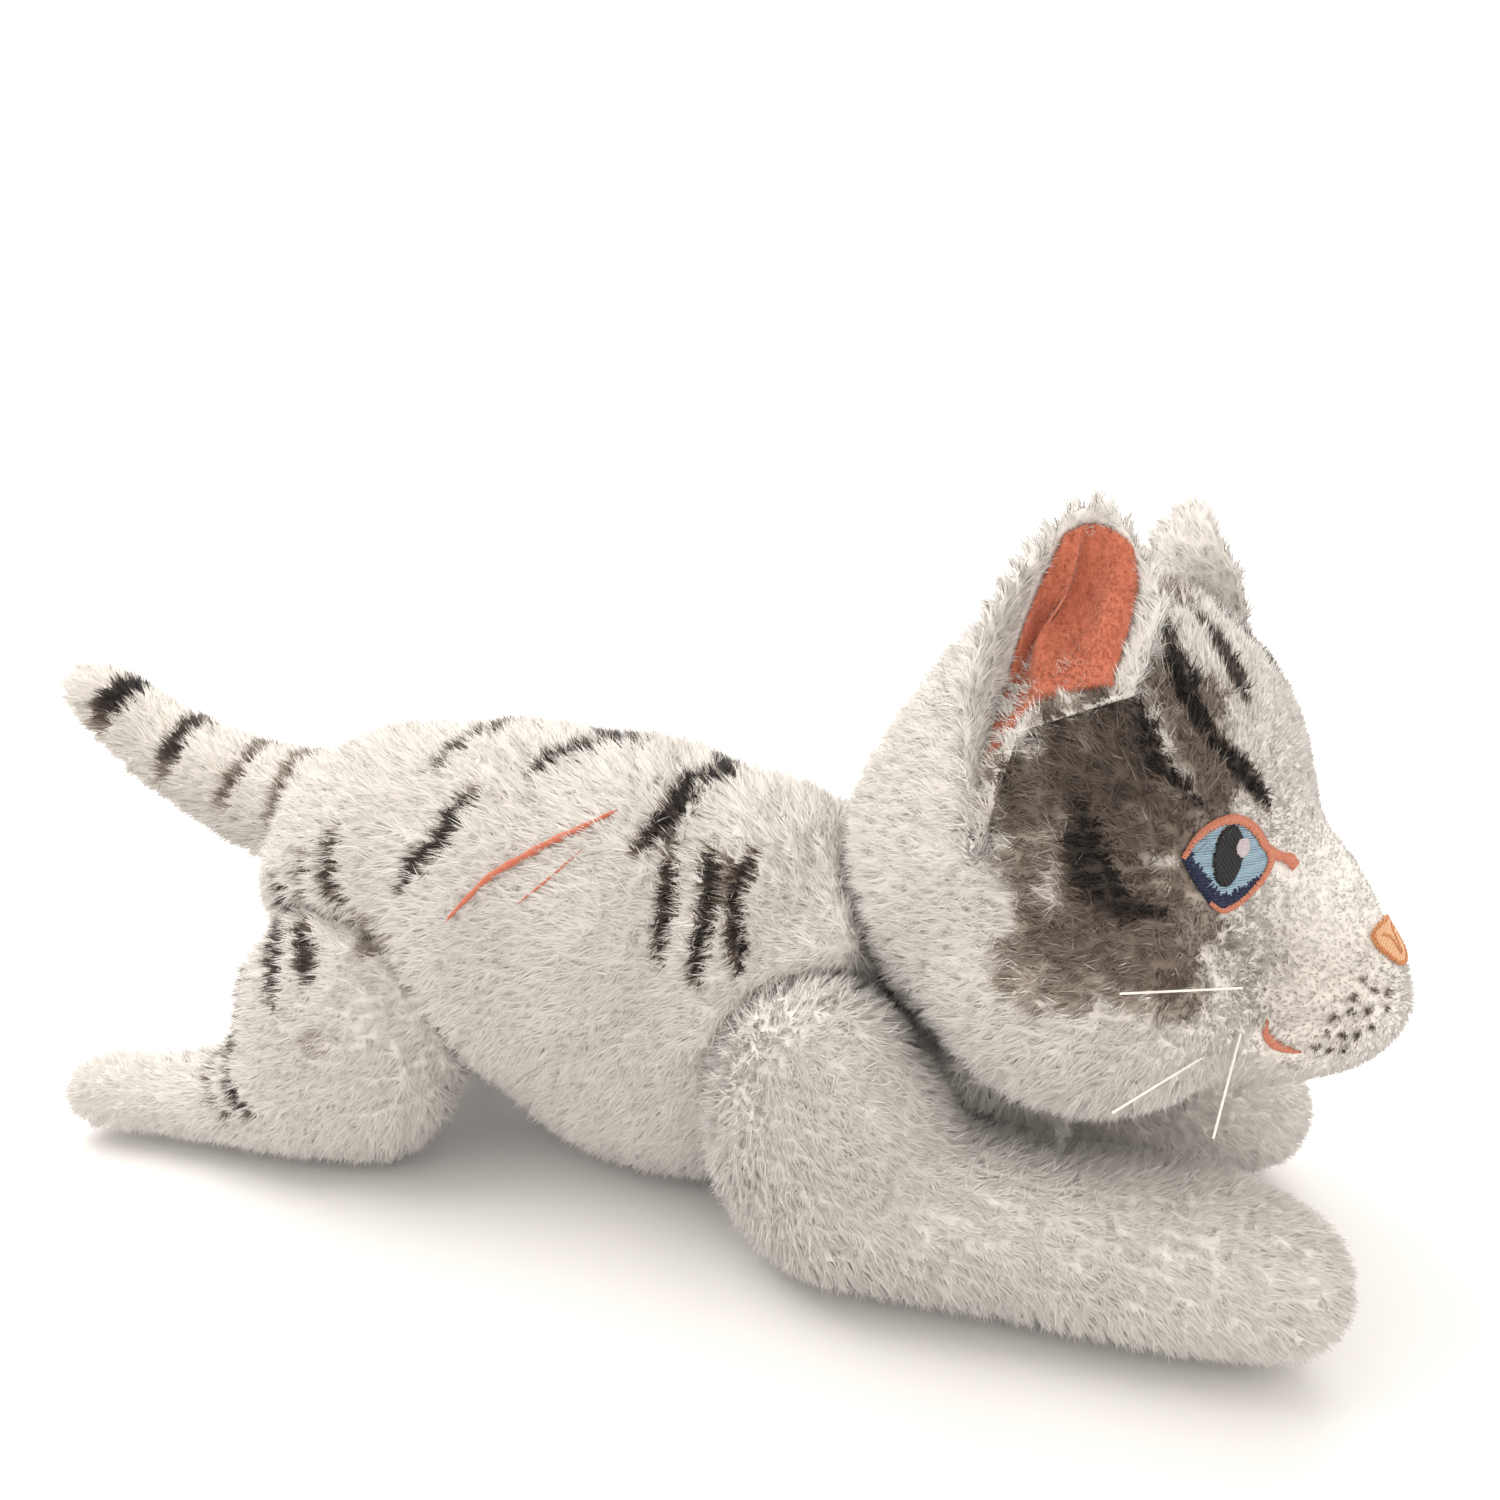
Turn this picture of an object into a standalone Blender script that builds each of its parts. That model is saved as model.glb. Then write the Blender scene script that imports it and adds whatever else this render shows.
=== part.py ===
"""Plush cat lying on its belly: sewn fur covers over fibre filling, with embroidered eyes and nose.

Frame: +X towards the face, +Y to the cat's left, +Z up, with the floor at Z = 0.
Every stuffed part is a cover (a thin fur-fabric shell, open at its seam) over its own filling. The head
and each limb turn on a vertical axis at their seam, and the parts around them are hollowed to leave room
for the whole movement. Shape tables are in millimetres, and everything else is in metres.
"""

import math

import bmesh
import bpy
from mathutils import Matrix, Vector

# Driving dimensions
MM = 0.001
FABRIC = 2.0 * MM  # thickness of a fur cover's backing and pile root
FILL_GAP = 0.6 * MM  # between a cover and its filling
SWEEP_GAP = 2.8  # mm of room around a part over the whole of its movement
TOUCH_GAP = 0.6 * MM  # between two pieces sewn together
FLOOR_GAP = 0.3 * MM  # limbs clear the floor by this much, and the torso rests on it
PATCH = 0.9 * MM  # thickness of an embroidered patch
EAR_GAP = 2.4 * MM  # between an ear's foot and the head
EAR_BACK = 3.0 * MM  # thickness of the fur back of an ear
EAR_LINING = 1.6 * MM  # thickness of the fleece inside an ear
OPENING = 8 * MM  # radius of the seam opening of each cover
WHISKER_RADIUS = 0.25 * MM

HEAD_CENTRE = Vector((106, 0, 106))
HEAD_TURN = -18  # degrees: at rest the head looks a little to the cat's right
HEAD_SWING = (-15, 0, 15)
SHOULDER = Vector((58, 46, 42))
FRONT_SWING = (-4, 10, 24)
HIP = Vector((-92, 42, 42))
HIND_SWING = (-4, 8, 20)
TAIL_ROOT = Vector((-128, 0, 98))
TAIL_SWING = (-30, -15, 0, 15, 30)

COLOURS = {
    "white_fur": (0.86, 0.84, 0.82),
    "coral_fleece": (0.87, 0.42, 0.30),
    "filling": (0.93, 0.93, 0.92),
    "coral_thread": (0.85, 0.42, 0.30),
    "blue_thread": (0.50, 0.68, 0.80),
    "navy_thread": (0.03, 0.05, 0.14),
    "black_thread": (0.01, 0.01, 0.01),
    "white_thread": (0.90, 0.87, 0.88),
    "peach_thread": (0.93, 0.65, 0.42),
    "nylon": (0.90, 0.90, 0.88),
}

# Stuffed shapes as balls: (centre, radii) or (centre, radii, tilt in degrees)
TORSO = [
    ((-84, 0, 78), (54, 53, 52)),
    ((-50, 0, 76), (60, 56, 57)),
    ((-14, 0, 74), (54, 54, 57)),
    ((22, 0, 68), (50, 50, 54)),
    ((0, 0, 46), (72, 44, 52)),
    ((50, 0, 62), (44, 50, 48)),
    ((60, 0, 60), (44, 44, 50)),
    ((84, 0, 36), (34, 34, 38)),
]
HEAD = [  # about the head's centre, looking along +X
    ((0, 0, 0), (54, 54, 54)),
    ((7, 0, 8), (51, 57, 62)),
    ((20, 33, -16), (38, 28, 32)),
    ((20, -33, -16), (38, 28, 32)),
    ((50, 0, -20), (35.5, 29, 22.5)),
    ((46, 0, 0), (28, 18, 22)),
    ((44, 0, -34), (24, 22, 14)),
    ((71, 0, -7), (10, 11, 9)),
]

# Outlines of the sewn patches, in millimetres on a plane that faces the patch
EYE = [
    (-10.2, 1.8), (-7.1, 6.2), (-3.5, 8.5), (2.3, 9.4), (7, 7.5), (10.9, 3.9),
    (13.7, 0.8), (12.6, -2.5), (8.8, -6), (3.6, -9.1), (-1.4, -9.6), (-5.4, -5.4),
]  # fmt: skip
TEAR_DUCT = [(11.5, 2.6), (16.5, 0.8), (19.6, 0.4), (21.2, -0.8), (21.2, -2.6), (19.8, -3.4), (16.5, -1.9), (11.5, -1.4)]
IRIS_FOOT = [(10.4, 0.9), (7.9, -1.6), (3.9, -4.6), (-0.2, -5.6), (-3, -3.6), (-5.6, 0)]
PUPIL = ((-0.4, 1.5), (3.3, 6.1))  # centre and half sizes
GLINT = ((2.4, 3.2), (1.6, 1.9))
NOSE = [
    (0, 5), (3.6, 5), (6.2, 4.2), (7, 1.2), (5.8, -1.8), (3.4, -4.2), (0, -5.6),
    (-3.4, -4.2), (-5.8, -1.8), (-7, 1.2), (-6.2, 4.2), (-3.6, 5),
]  # fmt: skip
MOUTH = [
    (-5.8, 1.4), (-4, -0.4), (-1.6, -1.4), (1, -1.7), (2.8, -1.4), (4.4, -0.4), (5.8, 1.4),
    (4, 0.7), (2, 0.3), (0, 0.3), (-2.4, 0.5), (-4.4, 1.1),
]  # fmt: skip
SLIT = [(-27, -0.6), (-14, -1.3), (0, -1), (14, -0.9), (27, -0.3), (14, 1), (0, 1.3), (-14, 0.9)]

# Where each patch is: its centre, the way its outline runs across, and the way it faces
EYE_SPOT = (Vector((48, -33.4, 16.5)), Vector((0.54, 0.84, -0.06)), Vector((0.82, -0.55, 0.18)))
NOSE_SPOT = (Vector((76, 0, -3)), Vector((0, 1, 0)), Vector((0.8, 0, 0.6)))
MOUTH_SPOT = (Vector((62.5, -25.5, -24)), Vector((0.69, 0.44, -0.57)), Vector((0.42, -0.87, -0.25)))
SLIT_SPOT = (Vector((-24, -43, 106)), Vector((0.74, 0.39, 0.54)), Vector((0.1, -0.8, 0.6)))

# The right ear about the head's centre: a leaf that curls round a hollow facing outwards and forwards
EAR_FOOT = [(3, -58, 15), (5, -50, 40), (27, -40, 50)]  # rear corner, back of the hollow, front corner
EAR_TIP = Vector((12, -34, 84))
EAR_ACROSS = Vector((0.86, 0.5, 0))
EAR_OPENING = Vector((0.5, -0.86, 0))
EAR_PIVOT = Vector((17, -50, 33))

# Whiskers as (root, end) on the right of the muzzle, about the head's centre
WHISKERS = [
    ((56, -39, -7), (40, -66, -3)),
    ((57, -38, -17.5), (58, -51, -36)),
    ((56, -39, -18.5), (41, -64, -30)),
]
WHISKER_WORDS = ("upper", "front", "lower")


# ---------------------------------------------------------------- scene helpers


def clear_scene():
    for obj in list(bpy.data.objects):
        bpy.data.objects.remove(obj)


def material(name):
    found = bpy.data.materials.get(name)
    if found:
        return found
    made = bpy.data.materials.new(name)
    made.use_nodes = True
    shader = made.node_tree.nodes["Principled BSDF"]
    shader.inputs["Base Color"].default_value = (*COLOURS[name], 1.0)
    shader.inputs["Roughness"].default_value = 0.3 if name == "nylon" else 0.9
    shader.inputs["Metallic"].default_value = 0.0
    return made


def guide(name, mesh):
    """A hidden object that shapes others and is removed once they are made."""
    obj = bpy.data.objects.new(name, mesh)
    bpy.context.scene.collection.objects.link(obj)
    obj.hide_render = True
    obj.display_type = "WIRE"
    return obj


def frozen(obj):
    """The object's mesh with its modifiers applied."""
    graph = bpy.context.evaluated_depsgraph_get()
    return bpy.data.meshes.new_from_object(obj.evaluated_get(graph))


def keep_largest(mesh):
    """Drops any offcut that carving left beside the main body."""
    shape = bmesh.new()
    shape.from_mesh(mesh)
    left = set(shape.verts)
    bodies = []
    while left:
        body, reached = [], [left.pop()]
        while reached:
            vertex = reached.pop()
            body.append(vertex)
            near = {edge.other_vert(vertex) for edge in vertex.link_edges} & left
            left -= near
            reached += sorted(near, key=lambda v: v.index)
        bodies.append(body)
    bodies.sort(key=len)
    for body in bodies[:-1]:
        bmesh.ops.delete(shape, geom=body, context="VERTS")
    shape.to_mesh(mesh)
    shape.free()


def part(name, mesh, colour, pivot, turn=0):
    """A finished piece, its mesh given about its pivot, which is on its joint's axis."""
    keep_largest(mesh)
    mesh.materials.clear()
    mesh.materials.append(material(colour))
    mesh.shade_smooth()
    obj = bpy.data.objects.new(name, mesh)
    bpy.context.scene.collection.objects.link(obj)
    obj.location = Vector(pivot) * MM
    obj.rotation_euler = (0, 0, math.radians(turn))
    return obj


def as_mesh(shape, name):
    mesh = bpy.data.meshes.new(name)
    shape.to_mesh(mesh)
    shape.free()
    return mesh


def carve(mesh, cuts=(), keeps=()):
    """The mesh with the cut meshes taken away and only what is inside all of the kept ones left."""
    obj = guide("carved", mesh)
    tools = []
    for operation, others in (("INTERSECT", keeps), ("DIFFERENCE", cuts)):
        for other in others:
            tool = guide("tool", other)
            tools.append(tool)
            modifier = obj.modifiers.new("carve", "BOOLEAN")
            modifier.operation = operation
            modifier.solver = "EXACT"
            modifier.object = tool
    result = frozen(obj)
    for old in [obj, *tools]:
        bpy.data.objects.remove(old)
    tidy = bmesh.new()
    tidy.from_mesh(result)
    bmesh.ops.triangulate(tidy, faces=tidy.faces[:])
    bmesh.ops.dissolve_degenerate(tidy, dist=0.003 * MM, edges=tidy.edges[:])
    tidy.to_mesh(result)
    tidy.free()
    return result


def offset(mesh, distance):
    """The mesh's shape moved out along its normals, or in if the distance is negative."""
    obj = guide("offset", mesh)
    push = obj.modifiers.new("push", "DISPLACE")
    push.strength = distance
    push.mid_level = 0.0
    result = frozen(obj)
    bpy.data.objects.remove(obj)
    return result


def mirror(mesh):
    copy = mesh.copy()
    copy.transform(Matrix.Diagonal((1, -1, 1, 1)))
    copy.flip_normals()
    return copy


# ---------------------------------------------------------------- plain solids


def slab(top):
    """Everything below a height."""
    shape = bmesh.new()
    place = Matrix.Translation((0, 0, top - 0.1)) @ Matrix.Diagonal((0.6, 0.6, 0.2, 1))
    bmesh.ops.create_cube(shape, size=1, matrix=place)
    return as_mesh(shape, "slab")


def rod(start, end, radius, sides=14):
    shape = bmesh.new()
    a, b = Vector(start) * MM, Vector(end) * MM
    turn = (b - a).to_track_quat("Z", "Y").to_matrix().to_4x4()
    place = Matrix.Translation((a + b) / 2) @ turn
    bmesh.ops.create_cone(
        shape,
        cap_ends=True,
        segments=sides,
        radius1=radius,
        radius2=radius,
        depth=(b - a).length,
        matrix=place,
    )
    return as_mesh(shape, "rod")


# ---------------------------------------------------------------- stuffed shapes


def chain(stations, step=6):
    """Balls that follow a line of (centre, radius) stations, a few millimetres apart."""
    balls = []
    for (start, r0), (end, r1) in zip(stations, stations[1:]):
        a, b = Vector(start), Vector(end)
        count = max(1, round((b - a).length / step))
        for i in range(count):
            t = i / count
            r = r0 + (r1 - r0) * t
            balls.append((a.lerp(b, t), (r, r, r)))
    end, r = stations[-1]
    balls.append((Vector(end), (r, r, r)))
    return balls


FRONT_LEG = [
    (SHOULDER, (33, 24, 42)),
    *chain([((62, 46, 26), 25), ((110, 44, 24), 23), ((150, 42, 24), 24), ((164, 42, 22), 21)]),
]
HIND_LEG = [
    (HIP, (38, 24, 42)),
    *chain([((-106, 44, 26), 24), ((-136, 48, 18), 17), ((-158, 52, 15), 14), ((-180, 56, 15), 14)]),
]
TAIL = chain([((-128, 0, 98), 21), ((-150, -2, 102), 18.5), ((-178, -8, 117), 15), ((-199, -12, 135), 12)])


def turned(balls, pivot, angle):
    """The balls turned about a vertical axis through the pivot."""
    turn = Matrix.Rotation(math.radians(angle), 3, "Z")
    out = []
    for centre, radii, *tilt in balls:
        tx, ty, tz = tilt[0] if tilt else (0, 0, 0)
        out.append((pivot + turn @ (Vector(centre) - pivot), radii, (tx, ty, tz + angle)))
    return out


def swept(balls, pivot, angles, grow=0.0):
    """The balls at each of the angles, grown by a number of millimetres."""
    out = []
    for angle in angles:
        for centre, radii, tilt in turned(balls, pivot, angle):
            out.append((centre, [r + grow for r in radii], tilt))
    return out


def mirrored(balls):
    out = []
    for centre, radii, *tilt in balls:
        x, y, z = centre
        tx, ty, tz = tilt[0] if tilt else (0, 0, 0)
        out.append((Vector((x, -y, z)), radii, (-tx, ty, -tz)))
    return out


def unit_ball():
    shape = bmesh.new()
    bmesh.ops.create_icosphere(shape, subdivisions=3, radius=1)
    points = [vertex.co.copy() for vertex in shape.verts]
    faces = [[vertex.index for vertex in face.verts] for face in shape.faces]
    shape.free()
    return points, faces


def soft(balls, voxel, triangles, smooth=5):
    """The balls melted together into one smooth body of about that many triangles."""
    points, faces = unit_ball()
    all_points, all_faces = [], []
    for centre, radii, *tilt in balls:
        tx, ty, tz = [math.radians(angle) for angle in (tilt[0] if tilt else (0, 0, 0))]
        turn = Matrix.Rotation(tz, 4, "Z") @ Matrix.Rotation(ty, 4, "Y") @ Matrix.Rotation(tx, 4, "X")
        place = Matrix.Translation(Vector(centre) * MM) @ turn @ Matrix.Diagonal((*(Vector(radii) * MM), 1))
        first = len(all_points)
        all_points += [place @ point for point in points]
        all_faces += [[first + corner for corner in face] for face in faces]
    mesh = bpy.data.meshes.new("balls")
    mesh.from_pydata(all_points, [], all_faces)
    obj = guide("balls", mesh)
    melt = obj.modifiers.new("melt", "REMESH")
    melt.mode = "VOXEL"
    melt.voxel_size = voxel * MM
    ease = obj.modifiers.new("ease", "SMOOTH")
    ease.factor = 0.5
    ease.iterations = smooth
    melted = frozen(obj)
    bpy.data.objects.remove(obj)
    obj = guide("melted", melted)
    thin = obj.modifiers.new("thin", "DECIMATE")
    count = sum(len(face.vertices) - 2 for face in melted.polygons)
    thin.ratio = min(1.0, triangles / count)
    result = frozen(obj)
    bpy.data.objects.remove(obj)
    return result


def stuffed(name, outer, rooms, opening, floor, pivot, turn=0, about=None, flip=False):
    """A cover with its seam opening, and the filling inside it.

    The rooms are the hollows other parts need, the opening is a (start, end) line through the wall, and
    the floor is the height of the flat underside, or None. The shapes are given about the world's origin,
    or about the point called about, and flip makes the piece for the cat's other side.
    """
    deep = FABRIC + FILL_GAP
    outer_rooms = list(rooms)
    inner_rooms = [offset(room, FABRIC) for room in rooms]
    deep_rooms = [offset(room, deep) for room in rooms]
    if floor is not None:
        outer_rooms.append(slab(floor))
        inner_rooms.append(slab(floor + FABRIC))
        deep_rooms.append(slab(floor + deep))
    hollow = carve(offset(outer, -FABRIC), inner_rooms)
    filling = carve(offset(outer, -deep), deep_rooms)
    cover = carve(outer, [*outer_rooms, hollow, rod(*opening, OPENING)])
    pivot = Vector(pivot)
    if flip:
        cover, filling = mirror(cover), mirror(filling)
        pivot = Vector((pivot.x, -pivot.y, pivot.z))
    back = Matrix.Translation(((about or Vector()) - pivot) * MM)
    for word, mesh, colour in (("cover", cover, "white_fur"), ("filling", filling, "filling")):
        mesh.transform(back)
        part(f"{name}_{word}", mesh, colour, pivot, turn)


def smoothed(points, steps=2):
    """A closed outline with rounded corners through the given points."""
    out = []
    count = len(points)
    for i in range(count):
        p0, p1, p2, p3 = [Vector(points[(i + k) % count]) for k in (-1, 0, 1, 2)]
        for k in range(steps):
            t = k / steps
            rise = (p2 - p0) * t + (p0 * 2 - p1 * 5 + p2 * 4 - p3) * t * t
            out.append((p1 * 2 + rise + (p1 * 3 - p0 - p2 * 3 + p3) * t * t * t) / 2)
    return out


def oval(centre, halves, grow=0.0, count=20):
    angles = [2 * math.pi * i / count for i in range(count)]
    (x, y), (a, b) = centre, halves
    return [Vector((x + (a + grow) * math.cos(t), y + (b + grow) * math.sin(t))) for t in angles]


def inset(points, by):
    """The outline moved inwards by a number of millimetres, or outwards if negative."""
    count = len(points)
    area = sum(points[i].cross(points[(i + 1) % count]) for i in range(count))
    side = math.copysign(by, area)
    out = []
    for i in range(count):
        along = (points[(i + 1) % count] - points[i - 1]).normalized()
        out.append(points[i] + Vector((-along.y, along.x)) * side)
    return out


def prism(outline, spot, depth=14):
    """A solid with the outline as its section, running through the patch's place."""
    centre, across, facing = spot
    across = across.normalized()
    facing = (facing - across * facing.dot(across)).normalized()
    up = facing.cross(across)
    shape = bmesh.new()
    rings = []
    for level in (-depth, depth):
        ring = [shape.verts.new((centre + across * p.x + up * p.y + facing * level) * MM) for p in outline]
        rings.append(ring)
    shape.faces.new(rings[0])
    shape.faces.new(rings[1])
    count = len(outline)
    for i in range(count):
        k = (i + 1) % count
        shape.faces.new((rings[0][i], rings[0][k], rings[1][k], rings[1][i]))
    bmesh.ops.recalc_face_normals(shape, faces=shape.faces[:])
    return as_mesh(shape, "prism")


def patch(base, outline, spot, holes=(), extra=(), thick=PATCH):
    """A thin patch that follows the base's surface inside the outline."""
    body = prism(outline, spot)
    if extra:
        obj = guide("patch", body)
        tool = guide("extra", prism(extra, spot, 13))
        modifier = obj.modifiers.new("join", "BOOLEAN")
        modifier.operation = "UNION"
        modifier.solver = "EXACT"
        modifier.object = tool
        body = frozen(obj)
        bpy.data.objects.remove(obj)
        bpy.data.objects.remove(tool)
    cuts = [base, offset(base, TOUCH_GAP)] + [prism(hole, spot, 20) for hole in holes]
    return carve(body, cuts, [offset(base, TOUCH_GAP + thick)])


def ear_point(s, t, narrow=1.0):
    """A point of the right ear's leaf: s runs from its rear edge to its front edge, t from foot to tip."""
    s *= narrow
    a, b, c = [Vector(point) for point in EAR_FOOT]
    control = b * 2 - (a + c) / 2
    k = (s + 1) / 2
    foot = a * (1 - k) ** 2 + control * 2 * k * (1 - k) + c * k**2
    tip = EAR_TIP + EAR_ACROSS * 6 * s - Vector((0, 0, 4)) * s**2
    swell = math.sin(math.pi * min(1, t * 1.02) ** 0.8)
    edge = EAR_ACROSS * (-13 * s**2 if s < 0 else 7 * s**2) * swell
    cup = EAR_OPENING * -11 * (1 - s**2) * swell**0.7
    return foot.lerp(tip, t) + edge + cup


def sheet(point, back, front, columns=8, rows=8):
    """A solid leaf between two distances behind and in front of a surface given by its point function."""
    shape = bmesh.new()
    layers = []
    for distance in (back, front):
        grid = []
        for row in range(rows + 1):
            line = []
            for column in range(columns + 1):
                s, t = 2 * column / columns - 1, row / rows
                here = point(s, t)
                du = point(min(1, s + 0.05), t) - point(max(-1, s - 0.05), t)
                dv = point(s, min(1, t + 0.03)) - point(s, max(0, t - 0.03))
                normal = du.cross(dv).normalized()
                line.append(shape.verts.new((here + normal * distance) * MM))
            grid.append(line)
        layers.append(grid)
    low, high = layers
    for row in range(rows):
        for column in range(columns):
            for grid in (low, high):
                corners = (grid[row][column], grid[row][column + 1], grid[row + 1][column + 1], grid[row + 1][column])
                shape.faces.new(corners)
    rim = [(0, c) for c in range(columns + 1)] + [(r, columns) for r in range(1, rows + 1)]
    rim += [(rows, c) for c in range(columns - 1, -1, -1)] + [(r, 0) for r in range(rows - 1, 0, -1)]
    for (r0, c0), (r1, c1) in zip(rim, rim[1:] + rim[:1]):
        shape.faces.new((low[r0][c0], low[r1][c1], high[r1][c1], high[r0][c0]))
    bmesh.ops.recalc_face_normals(shape, faces=shape.faces[:])
    return as_mesh(shape, "sheet")


def head_part(name, mesh, colour, spot=(0, 0, 0)):
    """A piece of the head, its mesh and its pivot both given about the head's centre."""
    mesh.transform(Matrix.Translation(-Vector(spot) * MM))
    place = HEAD_CENTRE + Matrix.Rotation(math.radians(HEAD_TURN), 3, "Z") @ Vector(spot)
    return part(name, mesh, colour, place, HEAD_TURN)


def make_head(head):
    stuffed("head", head, [], ((-30, 0, -20), (-70, 0, -48)), None, HEAD_CENTRE, HEAD_TURN, about=HEAD_CENTRE)
    outline = smoothed(EYE)
    hole = inset(outline, 1.0)
    inside = inset(outline, 1.25)
    iris_top = inside[:12]
    iris_foot = [Vector(point) for point in IRIS_FOOT]
    iris = iris_top + [inside[12] + Vector((-0.6, 0.3))] + iris_foot
    navy = inside[13:] + [point - Vector((0.2, 0.45)) for point in reversed(iris_foot)]
    pieces = {
        "rim": (patch(head, outline, EYE_SPOT, [hole], smoothed(TEAR_DUCT)), "coral_thread"),
        "iris": (patch(head, iris, EYE_SPOT, [oval(*PUPIL, 0.3), oval(*GLINT, 0.3)]), "blue_thread"),
        "shadow": (patch(head, navy, EYE_SPOT), "navy_thread"),
        "pupil": (patch(head, oval(*PUPIL), EYE_SPOT, [oval(*GLINT, 0.3)]), "black_thread"),
        "glint": (patch(head, oval(*GLINT), EYE_SPOT), "white_thread"),
    }
    mirrored_head = mirror(head)
    mirrored_pieces = {
        "rim": patch(mirrored_head, outline, EYE_SPOT, [hole], smoothed(TEAR_DUCT)),
        "iris": patch(mirrored_head, iris, EYE_SPOT, [oval(*PUPIL, 0.3), oval(*GLINT, 0.3)]),
        "shadow": patch(mirrored_head, navy, EYE_SPOT),
        "pupil": patch(mirrored_head, oval(*PUPIL), EYE_SPOT, [oval(*GLINT, 0.3)]),
        "glint": patch(mirrored_head, oval(*GLINT), EYE_SPOT),
    }
    for word, (mesh, colour) in pieces.items():
        head_part(f"eye_{word}_right", mesh, colour)
        head_part(f"eye_{word}_left", mirror(mirrored_pieces[word]), colour)
    head_part("nose", patch(head, smoothed(NOSE, 2), NOSE_SPOT), "peach_thread")
    head_part("mouth_right", patch(head, smoothed(MOUTH, 2), MOUTH_SPOT), "coral_thread")
    head_part("mouth_left", mirror(patch(mirrored_head, smoothed(MOUTH, 2), MOUTH_SPOT)), "coral_thread")
    for word, (root, end) in zip(WHISKER_WORDS, WHISKERS):
        for side, base in (("right", head), ("left", mirrored_head)):
            whisker = carve(rod(root, end, WHISKER_RADIUS, 8), [offset(base, TOUCH_GAP)])
            head_part(f"whisker_{word}_{side}", whisker if side == "right" else mirror(whisker), "nylon")
    room = offset(head, EAR_GAP)
    back = carve(sheet(ear_point, -EAR_BACK / MM, 0), [room])
    lining = carve(sheet(lambda s, t: ear_point(s, 0.94 * t, 0.86), 0.8, 0.8 + EAR_LINING / MM), [room])
    left_back, left_lining = mirror(back), mirror(lining)
    left_pivot = Vector((EAR_PIVOT.x, -EAR_PIVOT.y, EAR_PIVOT.z))
    head_part("ear_back_right", back, "white_fur", EAR_PIVOT)
    head_part("ear_lining_right", lining, "coral_fleece", EAR_PIVOT)
    head_part("ear_back_left", left_back, "white_fur", left_pivot)
    head_part("ear_lining_left", left_lining, "coral_fleece", left_pivot)



def make_leg(name, balls, outer, pivot, swing, head_at_rest):
    """Both legs of a pair. The left one is modelled, with room above it for the head at every angle."""
    for side in (1, -1):
        head_balls = head_at_rest if side > 0 else mirrored(head_at_rest)
        centre = Vector(HEAD_CENTRE)
        above = swept(head_balls, centre, HEAD_SWING, SWEEP_GAP)
        rooms = []
        if name == "front_leg":
            rooms.append(soft(swept(above, pivot, [-angle for angle in swing]), 5, 300))
        word = "left" if side > 0 else "right"
        inner = Vector((pivot.x, pivot.y - 4, pivot.z))
        opening = (inner, Vector((pivot.x, pivot.y - 40, pivot.z)))
        stuffed(f"{name}_{word}", outer, rooms, opening, FLOOR_GAP, pivot, flip=side < 0)


def main():
    clear_scene()
    head_at_rest = turned([(Vector(c) + HEAD_CENTRE, r) for c, r in HEAD], HEAD_CENTRE, HEAD_TURN)
    front_leg = soft(FRONT_LEG, 4, 340)
    hind_leg = soft(HIND_LEG, 4, 320)
    tail = soft(TAIL, 4, 200)
    torso = soft(TORSO, 5, 720)
    head = soft(HEAD, 5, 960)

    rooms = [soft(swept(head_at_rest, HEAD_CENTRE, HEAD_SWING, SWEEP_GAP), 5, 400)]
    for balls, pivot, swing in ((FRONT_LEG, SHOULDER, FRONT_SWING), (HIND_LEG, HIP, [-a for a in HIND_SWING])):
        room = soft(swept(balls, pivot, swing, SWEEP_GAP), 5, 260)
        rooms += [room, mirror(room)]
    rooms.append(soft(swept(TAIL, TAIL_ROOT, TAIL_SWING, SWEEP_GAP), 5, 200))
    stuffed("torso", torso, rooms, ((20, 0, 80), (70, 0, 80)), 0.0, (0, 0, 0))
    part("flank_slit", patch(torso, smoothed(SLIT, 2), SLIT_SPOT), "coral_fleece", (0, 0, 0))
    make_head(head)
    make_leg("front_leg", FRONT_LEG, front_leg, SHOULDER, FRONT_SWING, head_at_rest)
    make_leg("hind_leg", HIND_LEG, hind_leg, HIP, [-a for a in HIND_SWING], head_at_rest)
    stuffed("tail", tail, [], (TAIL_ROOT, TAIL_ROOT + Vector((40, 0, 0))), None, TAIL_ROOT)


main()
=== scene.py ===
"""Dresses the plush cat's CAD frame: stuffed skins, a combed striped pile, stitched eyes and nose."""

import math

import bmesh
import bpy
import numpy as np
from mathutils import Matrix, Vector
from mathutils.bvhtree import BVHTree


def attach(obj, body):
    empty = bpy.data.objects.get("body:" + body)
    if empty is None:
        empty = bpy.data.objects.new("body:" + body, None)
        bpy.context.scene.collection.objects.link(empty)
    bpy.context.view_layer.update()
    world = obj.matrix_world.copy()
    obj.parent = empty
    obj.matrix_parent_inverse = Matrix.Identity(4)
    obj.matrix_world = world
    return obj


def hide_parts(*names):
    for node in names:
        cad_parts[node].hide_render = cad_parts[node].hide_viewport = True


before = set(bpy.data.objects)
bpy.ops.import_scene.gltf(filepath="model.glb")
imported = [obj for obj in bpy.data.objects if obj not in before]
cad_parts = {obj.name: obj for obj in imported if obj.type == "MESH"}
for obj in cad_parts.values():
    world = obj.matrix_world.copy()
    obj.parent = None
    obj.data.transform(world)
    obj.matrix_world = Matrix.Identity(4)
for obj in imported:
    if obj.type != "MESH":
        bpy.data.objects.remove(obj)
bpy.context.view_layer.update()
MM = 0.001

# The head's own axes: its centre and its turn to the cat's right
HEAD_CENTRE = np.array([106.0, 0.0, 106.0])
HEAD_TURN = math.radians(-18)

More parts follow.
